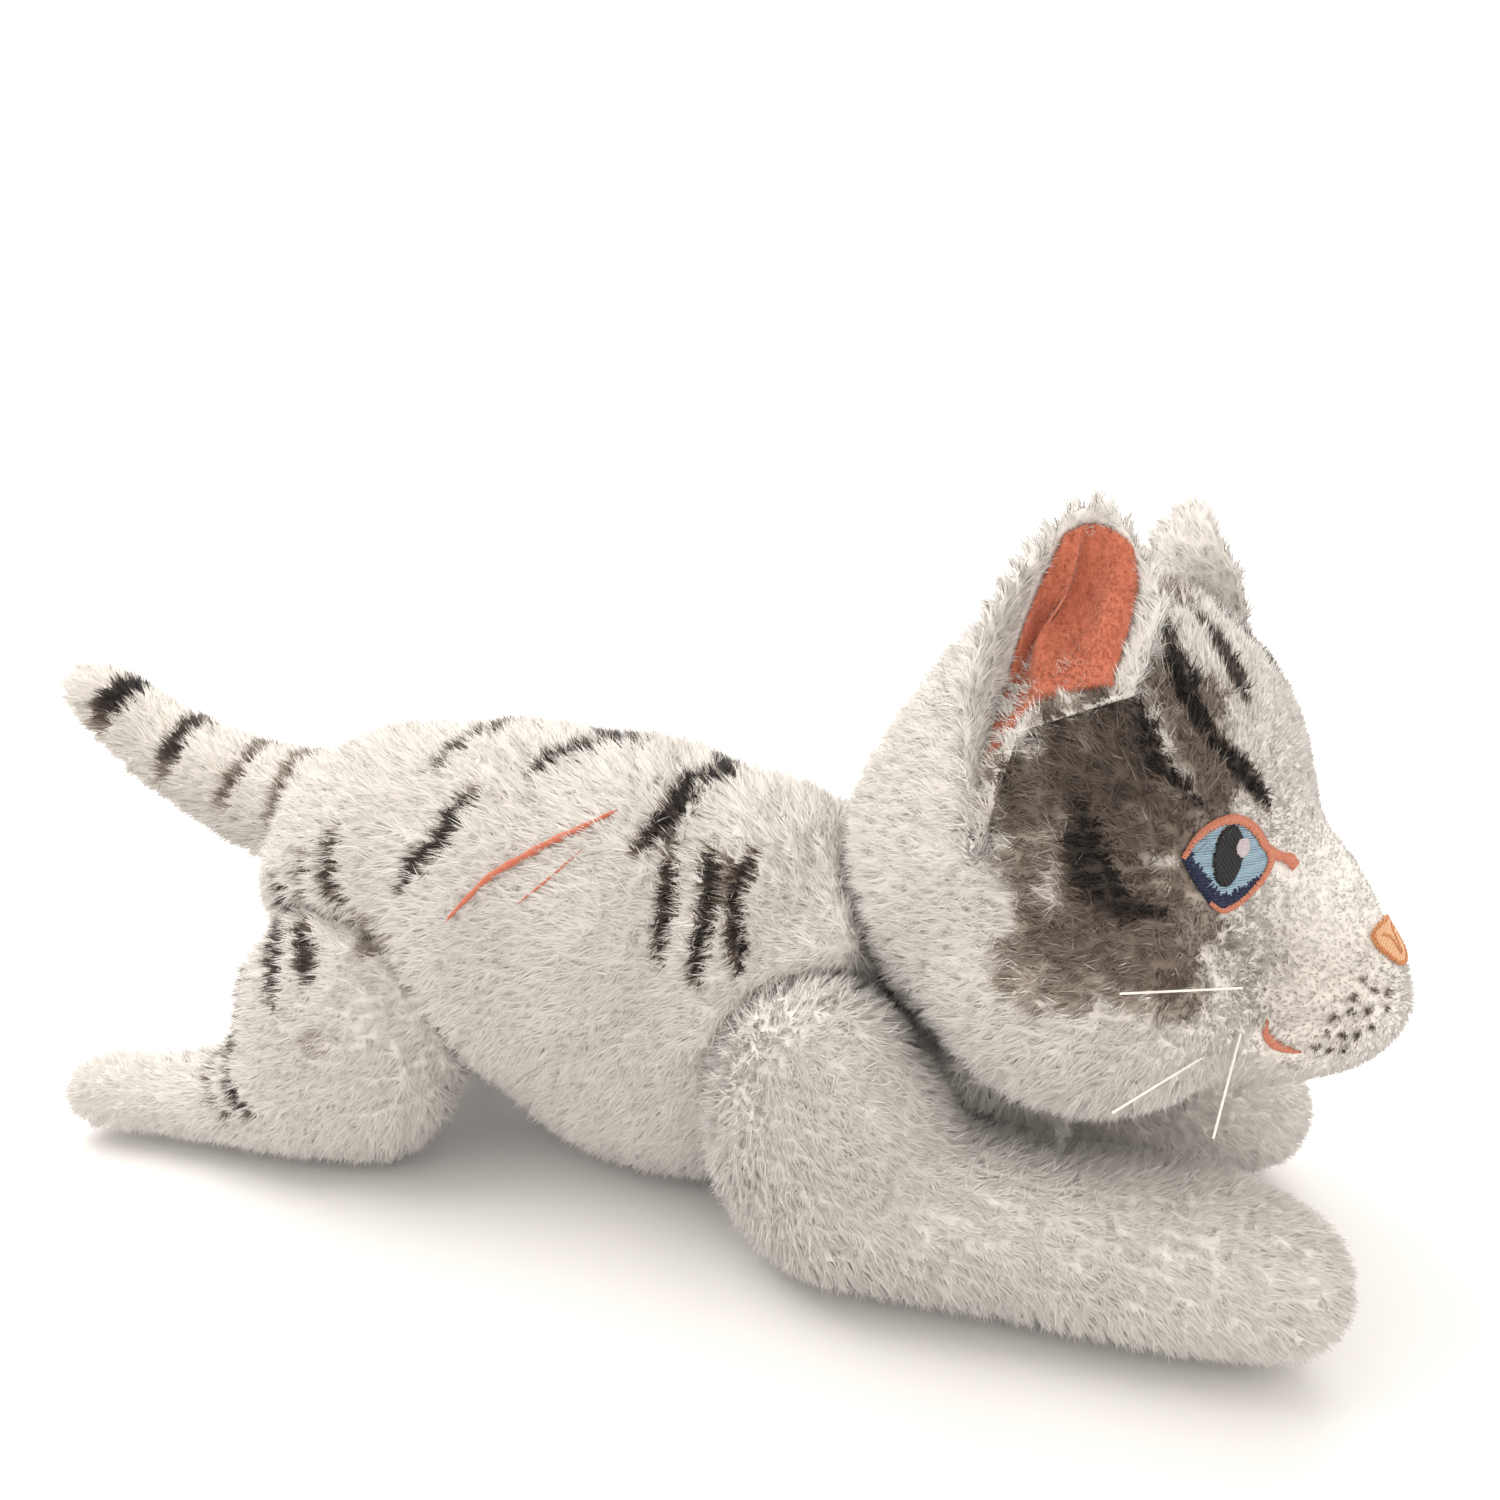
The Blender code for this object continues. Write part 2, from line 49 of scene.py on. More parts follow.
CAMERA_YAW = math.radians(19.5)
CAMERA_DROP = math.radians(21.4)

# Fibres per square millimetre and their width in mm
DENSITY = 2.1
WIDTH = 0.42
MOST_SPIKES = 64000  # in one piece

# ---------------------------------------------------------------- materials

# Pile colours from clean white, through brushed grey-brown, to the black of a stripe's middle
PILE = [
    (0.965, 0.922, 0.870),
    (0.945, 0.898, 0.840),
    (0.90, 0.85, 0.79),
    (0.50, 0.435, 0.375),
    (0.28, 0.225, 0.185),
    (0.165, 0.128, 0.10),
    (0.09, 0.071, 0.058),
    (0.04, 0.033, 0.029),
    (0.015, 0.013, 0.012),
]


def plain(name, colour, roughness, sheen=0.0):
    made = bpy.data.materials.new(name)
    made.use_nodes = True
    shader = made.node_tree.nodes["Principled BSDF"]
    shader.inputs["Base Color"].default_value = (*colour, 1)
    shader.inputs["Roughness"].default_value = roughness
    shader.inputs["Specular IOR Level"].default_value = 0.2
    shader.inputs["Sheen Weight"].default_value = sheen
    shader.inputs["Sheen Roughness"].default_value = 0.5
    return made


PILE_MATERIALS = [plain(f"pile_{i}", colour, 0.9, 0.15) for i, colour in enumerate(PILE)]
CORAL_MATERIALS = [
    plain(f"coral_pile_{i}", colour, 0.85, 0.3)
    for i, colour in enumerate([(0.66, 0.20, 0.11), (0.57, 0.155, 0.085), (0.72, 0.25, 0.145)])
]


def nodes_of(name):
    made = bpy.data.materials.new(name)
    made.use_nodes = True
    tree = made.node_tree
    return made, tree, tree.nodes["Principled BSDF"]


def bump(tree, shader, height, strength, distance):
    node = tree.nodes.new("ShaderNodeBump")
    node.inputs["Strength"].default_value = strength
    node.inputs["Distance"].default_value = distance
    tree.links.new(height, node.inputs["Height"])
    tree.links.new(node.outputs["Normal"], shader.inputs["Normal"])


def coat_material():
    """The woven backing under the pile: the coat's own colour, mottled, with a fine rough nap."""
    made, tree, shader = nodes_of("coat_backing")
    coat = tree.nodes.new("ShaderNodeAttribute")
    coat.attribute_name = "coat"
    place = tree.nodes.new("ShaderNodeTexCoord")
    nap = tree.nodes.new("ShaderNodeTexNoise")
    nap.inputs["Scale"].default_value = 420
    nap.inputs["Detail"].default_value = 4
    tree.links.new(place.outputs["Object"], nap.inputs["Vector"])
    shade = tree.nodes.new("ShaderNodeMapRange")
    shade.inputs["To Min"].default_value = 0.72
    shade.inputs["To Max"].default_value = 1.08
    tree.links.new(nap.outputs["Fac"], shade.inputs["Value"])
    mix = tree.nodes.new("ShaderNodeVectorMath")
    mix.operation = "SCALE"
    tree.links.new(coat.outputs["Color"], mix.inputs[0])
    tree.links.new(shade.outputs["Result"], mix.inputs["Scale"])
    tree.links.new(mix.outputs["Vector"], shader.inputs["Base Color"])
    shader.inputs["Roughness"].default_value = 0.95
    shader.inputs["Sheen Weight"].default_value = 0.2
    bump(tree, shader, nap.outputs["Fac"], 0.6, 0.0006)
    return made


def thread(name, light, dark, turn=(0, 0, 0), pitch=0.45, roughness=0.45):
    """Satin stitch: close parallel threads in slightly uneven rows, with a painted highlight on their crowns
    and painted shade in the grooves between them.
    """
    made, tree, shader = nodes_of(name)
    place = tree.nodes.new("ShaderNodeTexCoord")
    mapping = tree.nodes.new("ShaderNodeMapping")
    mapping.inputs["Rotation"].default_value = [math.radians(a) for a in turn]
    tree.links.new(place.outputs["Object"], mapping.inputs["Vector"])
    rows = tree.nodes.new("ShaderNodeTexWave")
    rows.wave_type = "BANDS"
    rows.bands_direction = "Z"
    rows.inputs["Scale"].default_value = 0.314 / (pitch * MM)
    rows.inputs["Distortion"].default_value = 1.2
    rows.inputs["Detail"].default_value = 2
    rows.inputs["Detail Scale"].default_value = 1.5
    tree.links.new(mapping.outputs["Vector"], rows.inputs["Vector"])
    # painted light: the light colour is each thread's lit crown, the dark one the painted shade between
    # threads
    tone = tree.nodes.new("ShaderNodeMix")
    tone.data_type = "RGBA"
    tone.inputs["A"].default_value = (*dark, 1)
    tone.inputs["B"].default_value = (*light, 1)
    tree.links.new(rows.outputs["Fac"], tone.inputs["Factor"])
    tree.links.new(tone.outputs["Result"], shader.inputs["Base Color"])
    gloss = tree.nodes.new("ShaderNodeMapRange")
    gloss.inputs["To Min"].default_value = min(1, roughness + 0.25)
    gloss.inputs["To Max"].default_value = roughness
    tree.links.new(rows.outputs["Fac"], gloss.inputs["Value"])
    tree.links.new(gloss.outputs["Result"], shader.inputs["Roughness"])
    bump(tree, shader, rows.outputs["Fac"], 0.8, 0.0003)
    return made


def fleece_material():
    made, tree, shader = nodes_of("coral_backing")
    place = tree.nodes.new("ShaderNodeTexCoord")
    nap = tree.nodes.new("ShaderNodeTexNoise")
    nap.inputs["Scale"].default_value = 900
    nap.inputs["Detail"].default_value = 5
    tree.links.new(place.outputs["Object"], nap.inputs["Vector"])
    tone = tree.nodes.new("ShaderNodeMix")
    tone.data_type = "RGBA"
    tone.inputs["A"].default_value = (0.52, 0.13, 0.07, 1)
    tone.inputs["B"].default_value = (0.66, 0.21, 0.12, 1)
    tree.links.new(nap.outputs["Fac"], tone.inputs["Factor"])
    tree.links.new(tone.outputs["Result"], shader.inputs["Base Color"])
    shader.inputs["Roughness"].default_value = 0.9
    shader.inputs["Sheen Weight"].default_value = 0.4
    bump(tree, shader, nap.outputs["Fac"], 0.7, 0.0005)
    return made


def nylon_material():
    made, tree, shader = nodes_of("nylon_line")
    place = tree.nodes.new("ShaderNodeTexCoord")
    haze = tree.nodes.new("ShaderNodeTexNoise")
    haze.inputs["Scale"].default_value = 300
    tree.links.new(place.outputs["Object"], haze.inputs["Vector"])
    tone = tree.nodes.new("ShaderNodeMix")
    tone.data_type = "RGBA"
    tone.inputs["A"].default_value = (0.80, 0.74, 0.66, 1)
    tone.inputs["B"].default_value = (0.93, 0.91, 0.88, 1)
    tree.links.new(haze.outputs["Fac"], tone.inputs["Factor"])
    tree.links.new(tone.outputs["Result"], shader.inputs["Base Color"])
    shader.inputs["Roughness"].default_value = 0.22
    return made


COAT = coat_material()
FLEECE = fleece_material()
NYLON = nylon_material()

# ---------------------------------------------------------------- the coat's markings


def turned(points, angle):
    """Points turned about the upright axis."""
    c, s = math.cos(angle), math.sin(angle)
    x, y, z = points.T
    return np.stack([x * c - y * s, x * s + y * c, z], 1)


def head_to_world(points):
    return turned(np.asarray(points, float).reshape(-1, 3), HEAD_TURN) + HEAD_CENTRE


def world_to_head(points):
    return turned(points - HEAD_CENTRE, -HEAD_TURN)


# Stripes as (points along it in mm, half width in mm, darkness), for the cat's right side
BODY_STRIPES = [
    ([(-65, -28, 122), (-63, -17, 128), (-59, -7, 131), (-55, 2, 132)], 2.0, 0.8),
    ([(-47, -32, 121), (-50, -39, 116), (-53, -45, 108), (-58, -48, 103), (-63, -51, 95)], 2.6, 0.95),
    ([(-35, -24, 124), (-33, -17, 127), (-27, -8, 129), (-12, 3, 131)], 2.8, 0.95),
    ([(14, 6, 122), (12, -4, 123), (8, -12, 124), (8, -21, 120), (6, -31, 114), (2, -37, 109)], 3.0, 0.95),
    ([(10, -31, 111), (11, -37, 105), (12, -41, 98), (12, -44, 91), (12, -48, 82)], 2.3, 0.95),
    ([(19, -30, 110), (22, -37, 103), (23, -42, 97), (22, -45, 89), (22, -49, 77)], 2.3, 0.95),
    ([(25, -31, 109), (27, -37, 103), (28, -41, 97)], 1.7, 0.6),
    ([(31, -29, 111), (30, -35, 105), (29, -39, 99), (31, -43, 93), (33, -47, 83)], 2.4, 0.95),
    ([(-89, -42, 108), (-89, -47, 100), (-87, -50, 92), (-81, -51, 87)], 2.3, 0.8),
    ([(-97, -44, 102), (-100, -48, 92), (-98, -51, 82)], 1.6, 0.7),
    ([(-100, -49, 86), (-97, -53, 78), (-92, -57, 73), (-90, -60, 68)], 2.9, 0.9),
    ([(-108, -43, 95), (-112, -44, 84), (-107, -52, 75), (-103, -59, 68), (-101, -63, 57)], 2.3, 0.9),
    ([(-80, -52, 84), (-74, -52, 79), (-68, -54, 76)], 4.0, 0.42),
    ([(-86, -64, 54), (-87, -66, 47)], 6.0, 0.3),
    (
        [(-118, -50, 62), (-124, -55, 51), (-126, -60, 40)]
        + [(-121, -64, 32), (-114, -67, 25), (-109, -67, 20)],
        *(1.8, 0.9),
    ),
    ([(-128, -52, 56), (-133, -55, 45), (-134, -58, 34), (-128, -64, 26), (-122, -66, 20)], 1.1, 0.8),
]
TAIL_LINE = [(-128, 0, 98), (-150, -2, 102), (-178, -8, 117), (-199, -12, 135)]
# Rings as (distance along the tail, half width, darkness)
TAIL_RINGS = [(6, 2.4, 0.55), (27, 2.6, 0.6), (50, 3.0, 0.85), (75, 4.0, 1.0)]
# The head's tables are in its own axes
HEAD_STRIPES = [
    ([(13, -6, 69), (19, -5, 67), (25, -4, 65)], 3.4, 0.5),
    ([(26, -7, 64), (29, -8, 62), (35, -11, 57), (42, -16, 48)], 3.0, 0.85),
    (
        [(23, -18, 62), (29, -25, 55), (33, -28, 50), (38, -30, 44)]
        + [(43, -28, 39), (48, -24, 33), (52, -20, 27)],
        *(3.0, 1.0),
    ),
    ([(25, -37, 48), (28, -39, 44), (31, -40, 39), (35, -40, 35), (39, -38, 31), (43, -35, 27)], 2.5, 0.95),
    ([(20, -51, 30), (23, -52, 24), (24, -52, 18), (27, -51, 13), (32, -49, 9), (39, -46, 8)], 4.6, 0.92),
    ([(42, -17, 47), (48, -15, 39), (53, -11, 31), (55, -8, 25)], 0.9, 0.35),
]
# Soft grey-brown areas of the face, and a painted shade over the muzzle and chin: centre, half sizes,
# darkness
FACE_MARKINGS_AND_SHADE = [
    ((25, -45, 37), (18, 15, 18), 0.68),
    ((35, -43, 25), (17, 15, 15), 0.6),
    ((28, -51, 14), (18, 15, 15), 0.62),
    ((24, -54, 3), (19, 15, 14), 0.56),
    ((37, -52, 0), (18, 15, 14), 0.54),
    ((45, -43, 4), (12, 13, 12), 0.46),
    ((34, -30, 48), (14, 14, 14), 0.54),
    ((43, -32, 34), (11, 11, 12), 0.54),
    ((47, -49, -7), (11, 11, 9), 0.44),
    ((23, -59, -9), (13, 11, 9), 0.44),
    ((42, -43, 13), (10, 9, 13), 0.52),
    ((16, -58, -2), (12, 12, 14), 0.5),
    ((14, -56, 16), (9, 12, 12), 0.5),
    ((38, -47, 14), (10, 9, 12), 0.56),
    ((12, -53, 30), (12, 11, 13), 0.62),
    ((20, -46, 42), (12, 11, 11), 0.62),
    # painted shade: the muzzle and chin are darkened as if in shade
    ((63, -19, -14), (26, 24, 21), 0.28),
    ((37, -34, 40), (9, 8, 9), 0.56),
    ((16, -6, 70), (9, 11, 8), 0.44),
]
WHISKER_DOTS = [
    *[(74, -17, -12), (77, -13, -11), (80, -10, -12), (76, -15, -8)],
    *[(72, -22, -16), (75, -19, -15), (78, -16, -15), (81, -11, -15)],
    *[(71, -22, -20), (74, -20, -21), (77, -18, -21), (79, -15, -19)],
    *[(69, -22, -24), (72, -21, -25), (75, -19, -25)],
]


def wander(points, scale, seed):
    """A smooth pseudo-random field, mostly in -1 to 1, made of a few crossed waves."""
    rng = np.random.default_rng(seed)
    total = np.zeros(len(points))
    for _ in range(5):
        wave = rng.normal(size=3) / scale
        total += np.sin(points @ wave + rng.uniform(0, 6.28))
    return total / 3


def flowing(line, step=2.0):
    """Points a step apart along a smooth curve through the given ones."""
    knots = [np.array(p, float) for p in line]
    knots = [2 * knots[0] - knots[1], *knots, 2 * knots[-1] - knots[-2]]
    out = []
    for a, b, c, d in zip(knots, knots[1:], knots[2:], knots[3:]):
        count = max(1, int(np.linalg.norm(c - b) / step))
        for i in range(count):
            t = i / count
            bend = (2 * a - 5 * b + 4 * c - d) * t**2
            out.append((2 * b + (c - a) * t + bend + (3 * b - a - 3 * c + d) * t**3) / 2)
    return np.array([*out, knots[-2]])


def settled(table, tree, place=None, back=None):
    """The stripes of a table, laid down onto a skin; place and back turn them to its axes and back."""
    out = []
    for line, half, dark in table:
        points = flowing(line)
        points = place(points) if place else points
        points = np.array([tree.find_nearest(point)[0] for point in points])
        out.append((back(points) if back else points, half, dark))
    return out


def stripes(points, table):
    """Darkness of the stripes and their mirror images at points in millimetres."""
    tone = np.zeros(len(points))
    ragged = 0.45 * wander(points, 1.5, 3) + 0.45 * wander(points, 4.5, 4)
    for side in (1, -1):
        here = points * np.array([1, side, 1])
        for line, half, dark in table:
            reach = half + 4
            inside = ((here > line.min(0) - reach) & (here < line.max(0) + reach)).all(1)
            spots = here[inside]
            best, along = np.full(len(spots), 1e9), np.zeros(len(spots))
            for i, (a, b) in enumerate(zip(line, line[1:])):
                run = b - a
                t = np.clip((spots - a) @ run / max(run @ run, 1e-9), 0, 1)
                away = np.linalg.norm(spots - a - t[:, None] * run, axis=1)
                along = np.where(away < best, (i + t) / (len(line) - 1), along)
                best = np.minimum(best, away)
            taper = half * np.clip(0.4 + 3 * np.minimum(along, 1 - along), 0, 1)
            edge = (best + ragged[inside] - taper) / 2.4
            tone[inside] = np.maximum(tone[inside], dark * np.clip(0.5 - edge, 0, 1))
    return tone


def body_tone(points):
    tone = stripes(points, MARKS["body"])
    greyer = np.clip((points[:, 2] - 92) / 30, 0, 1) * np.clip((28 - points[:, 0]) / 30, 0, 1)
    return np.maximum(tone, greyer * (0.10 + 0.07 * wander(points, 9, 14)))


def tail_tone(points):
    tone = np.clip(0.10 + 0.08 * wander(points, 7, 15), 0, 1)
    ring, start = np.full(len(points), 1e9), 0.0
    reach = np.full(len(points), 1e9)
    for a, b in zip(TAIL_LINE, TAIL_LINE[1:]):
        a, b = np.array(a, float), np.array(b, float)
        along = b - a
        length = np.linalg.norm(along)
        t = np.clip((points - a) @ along / length**2, 0, 1.4)
        away = np.linalg.norm(points - a - t[:, None] * along, axis=1)
        closer = away < reach
        reach = np.where(closer, away, reach)
        ring = np.where(closer, start + t * length, ring)
        start += length
    ring += 1.0 * wander(points, 3, 7)
    upper = np.clip(0.75 + (points[:, 2] - np.interp(ring, [0, 22, 54, 82], [98, 102, 117, 135])) / 14, 0, 1)
    for at, half, dark in TAIL_RINGS:
        edge = (np.abs(ring - at) - half) / 2.4
        tone = np.maximum(tone, dark * upper * np.clip(0.5 - edge, 0, 1))
    return tone


def head_tone(points):
    local = world_to_head(points)
    tone = stripes(local, MARKS["head"])
    rough = 0.22 * wander(local, 4.5, 8) + 0.14 * wander(local, 1.6, 9)
    for side in (1, -1):
        here = local * np.array([1, side, 1])
        # the face's grey-brown markings, and the painted shade over the muzzle and chin
        for centre, halves, dark in FACE_MARKINGS_AND_SHADE:
            away = np.linalg.norm((here - np.array(centre)) / np.array(halves), axis=1)
            tone = np.maximum(tone, dark * np.clip(1.7 * (1.08 + rough - away), 0, 1))
        for dot in MARKS["dots"]:
            away = np.linalg.norm(here - dot, axis=1)
            tone = np.maximum(tone, 0.8 * np.clip((1.4 - away) * 1.5, 0, 1))
    return tone


def pile_colour(tone):
    """Index into the pile colours, for darkness 0 to 1."""
    return np.clip(np.round(tone * (len(PILE) - 1)), 0, len(PILE) - 1).astype(int)


# ---------------------------------------------------------------- stuffed skins


def placed(name, data):
    obj = bpy.data.objects.new(name, data)
    bpy.context.scene.collection.objects.link(obj)
    return obj


def closed_mesh(name, points, faces, check=False):
    """A smooth mesh from points in millimetres, with its faces turned outwards."""
    mesh = bpy.data.meshes.new(name)
    mesh.from_pydata((np.array(points) * MM).tolist(), [], faces)
    if check:
        mesh.validate()
    tidy = bmesh.new()
    tidy.from_mesh(mesh)
    bmesh.ops.recalc_face_normals(tidy, faces=tidy.faces[:])
    tidy.to_mesh(mesh)
    tidy.free()
    mesh.shade_smooth()
    return mesh


def tube_faces(first, count, sides):
    """Faces of a capped tube of so many rings, whose points start at a number."""
    faces = []
    for i in range(count - 1):
        for k in range(sides):
            a, b, m = first + sides * i, first + sides * (i + 1), (k + 1) % sides
            faces.append([a + k, a + m, b + m, b + k])
    faces.append([first + k for k in range(sides - 1, -1, -1)])
    faces.append([first + sides * (count - 1) + k for k in range(sides)])
    return faces


def apply_all(obj):
    graph = bpy.context.evaluated_depsgraph_get()
    mesh = bpy.data.meshes.new_from_object(obj.evaluated_get(graph))
    obj.modifiers.clear()
    obj.data = mesh


def coordinates(mesh):
    flat = np.empty(len(mesh.vertices) * 3, np.float32)
    mesh.vertices.foreach_get("co", flat)
    return flat.reshape(-1, 3).astype(float)


def set_coordinates(mesh, points):
    mesh.vertices.foreach_set("co", points.astype(np.float32).ravel())
    mesh.update()


def normals_of(mesh):
    flat = np.empty(len(mesh.vertices) * 3, np.float32)
    mesh.vertices.foreach_get("normal", flat)
    return flat.reshape(-1, 3).astype(float)


def swell(obj, limit):
    """Cloth under inner pressure, as filling pushes a cover out, held back to a limit in metres."""
    rest = coordinates(obj.data)
    cloth = obj.modifiers.new("cloth", "CLOTH")
    settings = cloth.settings
    settings.quality = 4
    settings.mass = 0.3
    settings.tension_stiffness = 25
    settings.compression_stiffness = 25
    settings.use_pressure = True
    settings.uniform_pressure_force = 4
    settings.effector_weights.gravity = 0
    cloth.point_cache.frame_start = 1
    cloth.point_cache.frame_end = 20
    scene = bpy.context.scene
    for number in range(1, 21):
        scene.frame_set(number)
    apply_all(obj)
    scene.frame_set(1)
    moved = coordinates(obj.data) - rest
    far = np.linalg.norm(moved, axis=1, keepdims=True)
    moved *= np.minimum(1, limit / np.maximum(far, 1e-9))
    set_coordinates(obj.data, rest + moved)


SWELL = 0.8  # mm, how far the filling's pressure brings a skin out
SWELL_LIMIT = 1.6  # mm, the most it may move any point


def make_skin(name, proud=1.4, voxel=3.5, cloth=True):
    """The smooth stuffed form of one part, grown from its filling to just under its cover's face."""
    obj = placed(f"{name}_skin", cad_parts[f"{name}_filling"].data.copy())
    melt = obj.modifiers.new("melt", "REMESH")
    melt.mode = "VOXEL"
    melt.voxel_size = voxel * MM
    ease = obj.modifiers.new("ease", "SMOOTH")
    ease.factor = 0.5
    ease.iterations = 8
    apply_all(obj)
    start = proud - (SWELL if cloth else 0)
    set_coordinates(obj.data, coordinates(obj.data) + normals_of(obj.data) * start * MM)
    if cloth:
        swell(obj, SWELL_LIMIT * MM)
    elif cloth:
        set_coordinates(obj.data, coordinates(obj.data) + normals_of(obj.data) * SWELL * MM)
    smooth = obj.modifiers.new("smooth", "SUBSURF")
    smooth.levels = 1
    smooth.render_levels = 1
    apply_all(obj)
    obj.data.materials.clear()
    obj.data.materials.append(COAT)
    obj.data.shade_smooth()
    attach(obj, name)
    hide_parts(f"{name}_cover", f"{name}_filling")
    return obj


def colour_skin(skin, tone_at):
    """Tints a skin's cloth like its pile, a little lighter."""
    colours = np.array(PILE)[pile_colour(tone_at(coordinates(skin.data) / MM) * 0.85)]
    layer = skin.data.color_attributes.new("coat", "FLOAT_COLOR", "POINT")
    layer.data.foreach_set("color", np.concatenate([colours, np.ones((len(colours), 1))], 1).ravel())


# ---------------------------------------------------------------- the pile


def unit(vectors):
    return vectors / np.maximum(np.linalg.norm(vectors, axis=1, keepdims=True), 1e-9)


def scatter(mesh, density, rng):
    """Random points on a mesh, about so many per square millimetre: places, normals, corners and weights."""
    mesh.calc_loop_triangles()
    count = len(mesh.loop_triangles)
    corners = np.empty(count * 3, np.int32)
    mesh.loop_triangles.foreach_get("vertices", corners)
    corners = corners.reshape(-1, 3)
    points, normals = coordinates(mesh) / MM, normals_of(mesh)
    a, b, c = points[corners[:, 0]], points[corners[:, 1]], points[corners[:, 2]]
    area = np.linalg.norm(np.cross(b - a, c - a), axis=1) / 2
    wanted = int(area.sum() * density)
    picked = np.searchsorted(np.cumsum(area), rng.uniform(0, area.sum(), wanted))
    picked = corners[np.minimum(picked, count - 1)]
    u, v = rng.uniform(size=wanted), rng.uniform(size=wanted)
    over = u + v > 1
    u[over], v[over] = 1 - u[over], 1 - v[over]
    weights = np.stack([1 - u - v, u, v], 1)
    place = (points[picked] * weights[:, :, None]).sum(1)
    facing = unit((normals[picked] * weights[:, :, None]).sum(1))
    return place, facing, picked, weights


def tuft_noise(points, size, seed):
    """A steady random vector for every cell of a jittered grid, and the offset to that cell's centre."""
    warped = points + np.stack([wander(points, size * 1.3, seed + i) for i in range(3)], 1) * size * 0.45
    cell = np.floor(warped / size)
    mixed = cell @ np.array([[12.9898, 78.233, 37.719], [39.346, 11.135, 83.155], [73.156, 52.235, 9.151]])
    random = np.modf(np.sin(mixed + seed) * 43758.5453)[0]
    centre = (cell + 0.5) * size - warped
    return random * 2 - np.sign(random), centre


def grow_pile(name, body, place, facing, comb, length, width, tone, materials, seed):
    """Fibres of pile: each a slim three-sided spike that leaves the cloth and lies over along the comb."""
    rng = np.random.default_rng(seed)
    count = len(place)
    random, centre = tuft_noise(place, 3.6, seed)
    loose = rng.normal(size=(count, 3))
    flow = comb + 0.45 * random + 0.28 * loose + (0.34 * np.clip((length - 2) / 3, 0, 1))[:, None] * centre
    flow = flow - facing * (flow * facing).sum(1, keepdims=True)
    size = np.linalg.norm(flow, axis=1, keepdims=True)
    flow = flow / np.maximum(size, 1)
    long = (length * rng.uniform(0.72, 1.15, count))[:, None]
    wide = (width * rng.uniform(0.75, 1.25, count))[:, None]
    root = place - facing * 0.3
    tip = root + unit(facing * 0.85 + flow) * long
    along = unit(tip - root)
    across = unit(np.cross(along, facing + 0.8 * rng.normal(size=(count, 3))))
    beside = np.cross(along, across)
    thirds = (0, 2.094, 4.189)
    spike = [root + (across * math.cos(a) + beside * math.sin(a)) * wide * 0.55 for a in thirds]
    points = np.stack([*spike, tip], 1)
    shine = unit(facing + 0.25 * flow + 0.15 * loose)
    for part, first in enumerate(range(0, count, MOST_SPIKES)):
        block = slice(first, min(first + MOST_SPIKES, count))
        obj = spike_mesh(f"{name}_{part + 1}", points[block], shine[block], tone[block], materials)
        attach(obj, body)


def spike_mesh(name, points, shine, tone, materials):
    """One piece of pile: four points a spike, lit by its cloth's facing rather than its own three sides."""
    count = len(points)
    mesh = bpy.data.meshes.new(name)
    mesh.vertices.add(count * 4)
    mesh.vertices.foreach_set("co", (points * MM).astype(np.float32).ravel())
    corners = (np.arange(count)[:, None] * 4 + np.array([0, 1, 3, 1, 2, 3, 2, 0, 3])).ravel()
    mesh.loops.add(len(corners))
    mesh.loops.foreach_set("vertex_index", corners.astype(np.int32))
    mesh.polygons.add(count * 3)
    mesh.polygons.foreach_set("loop_start", np.arange(0, count * 9, 3, dtype=np.int32))
    mesh.polygons.foreach_set("material_index", np.repeat(tone, 3).astype(np.int32))
    mesh.update(calc_edges=True)
    for material in materials:
        mesh.materials.append(material)
    mesh.shade_smooth()
    mesh.normals_split_custom_set_from_vertices(np.repeat(shine, 4, axis=0).tolist())
    return placed(name, mesh)


def tree_of(objs):
    points, faces = [], []
    for obj in objs:
        first = len(points)
        points += [tuple(p) for p in coordinates(obj.data) / MM]
        faces += [[first + i for i in face.vertices] for face in obj.data.polygons]
    return BVHTree.FromPolygons(points, faces)


def clearance(mesh, tree, most):
    """Distance from each vertex of the mesh to the nearest point of a tree, up to a limit, in mm."""
    out = np.full(len(mesh.vertices), float(most))
    for i, point in enumerate(coordinates(mesh) / MM):
        near = tree.find_nearest(point, most)
        if near[0] is not None:
            out[i] = near[3]
    return out


SEAM = 5  # mm, how near another part the pile leans over to it
EVEN = (1, 1)  # factors on the pile's density and width
FINER = (1.3, 0.85)


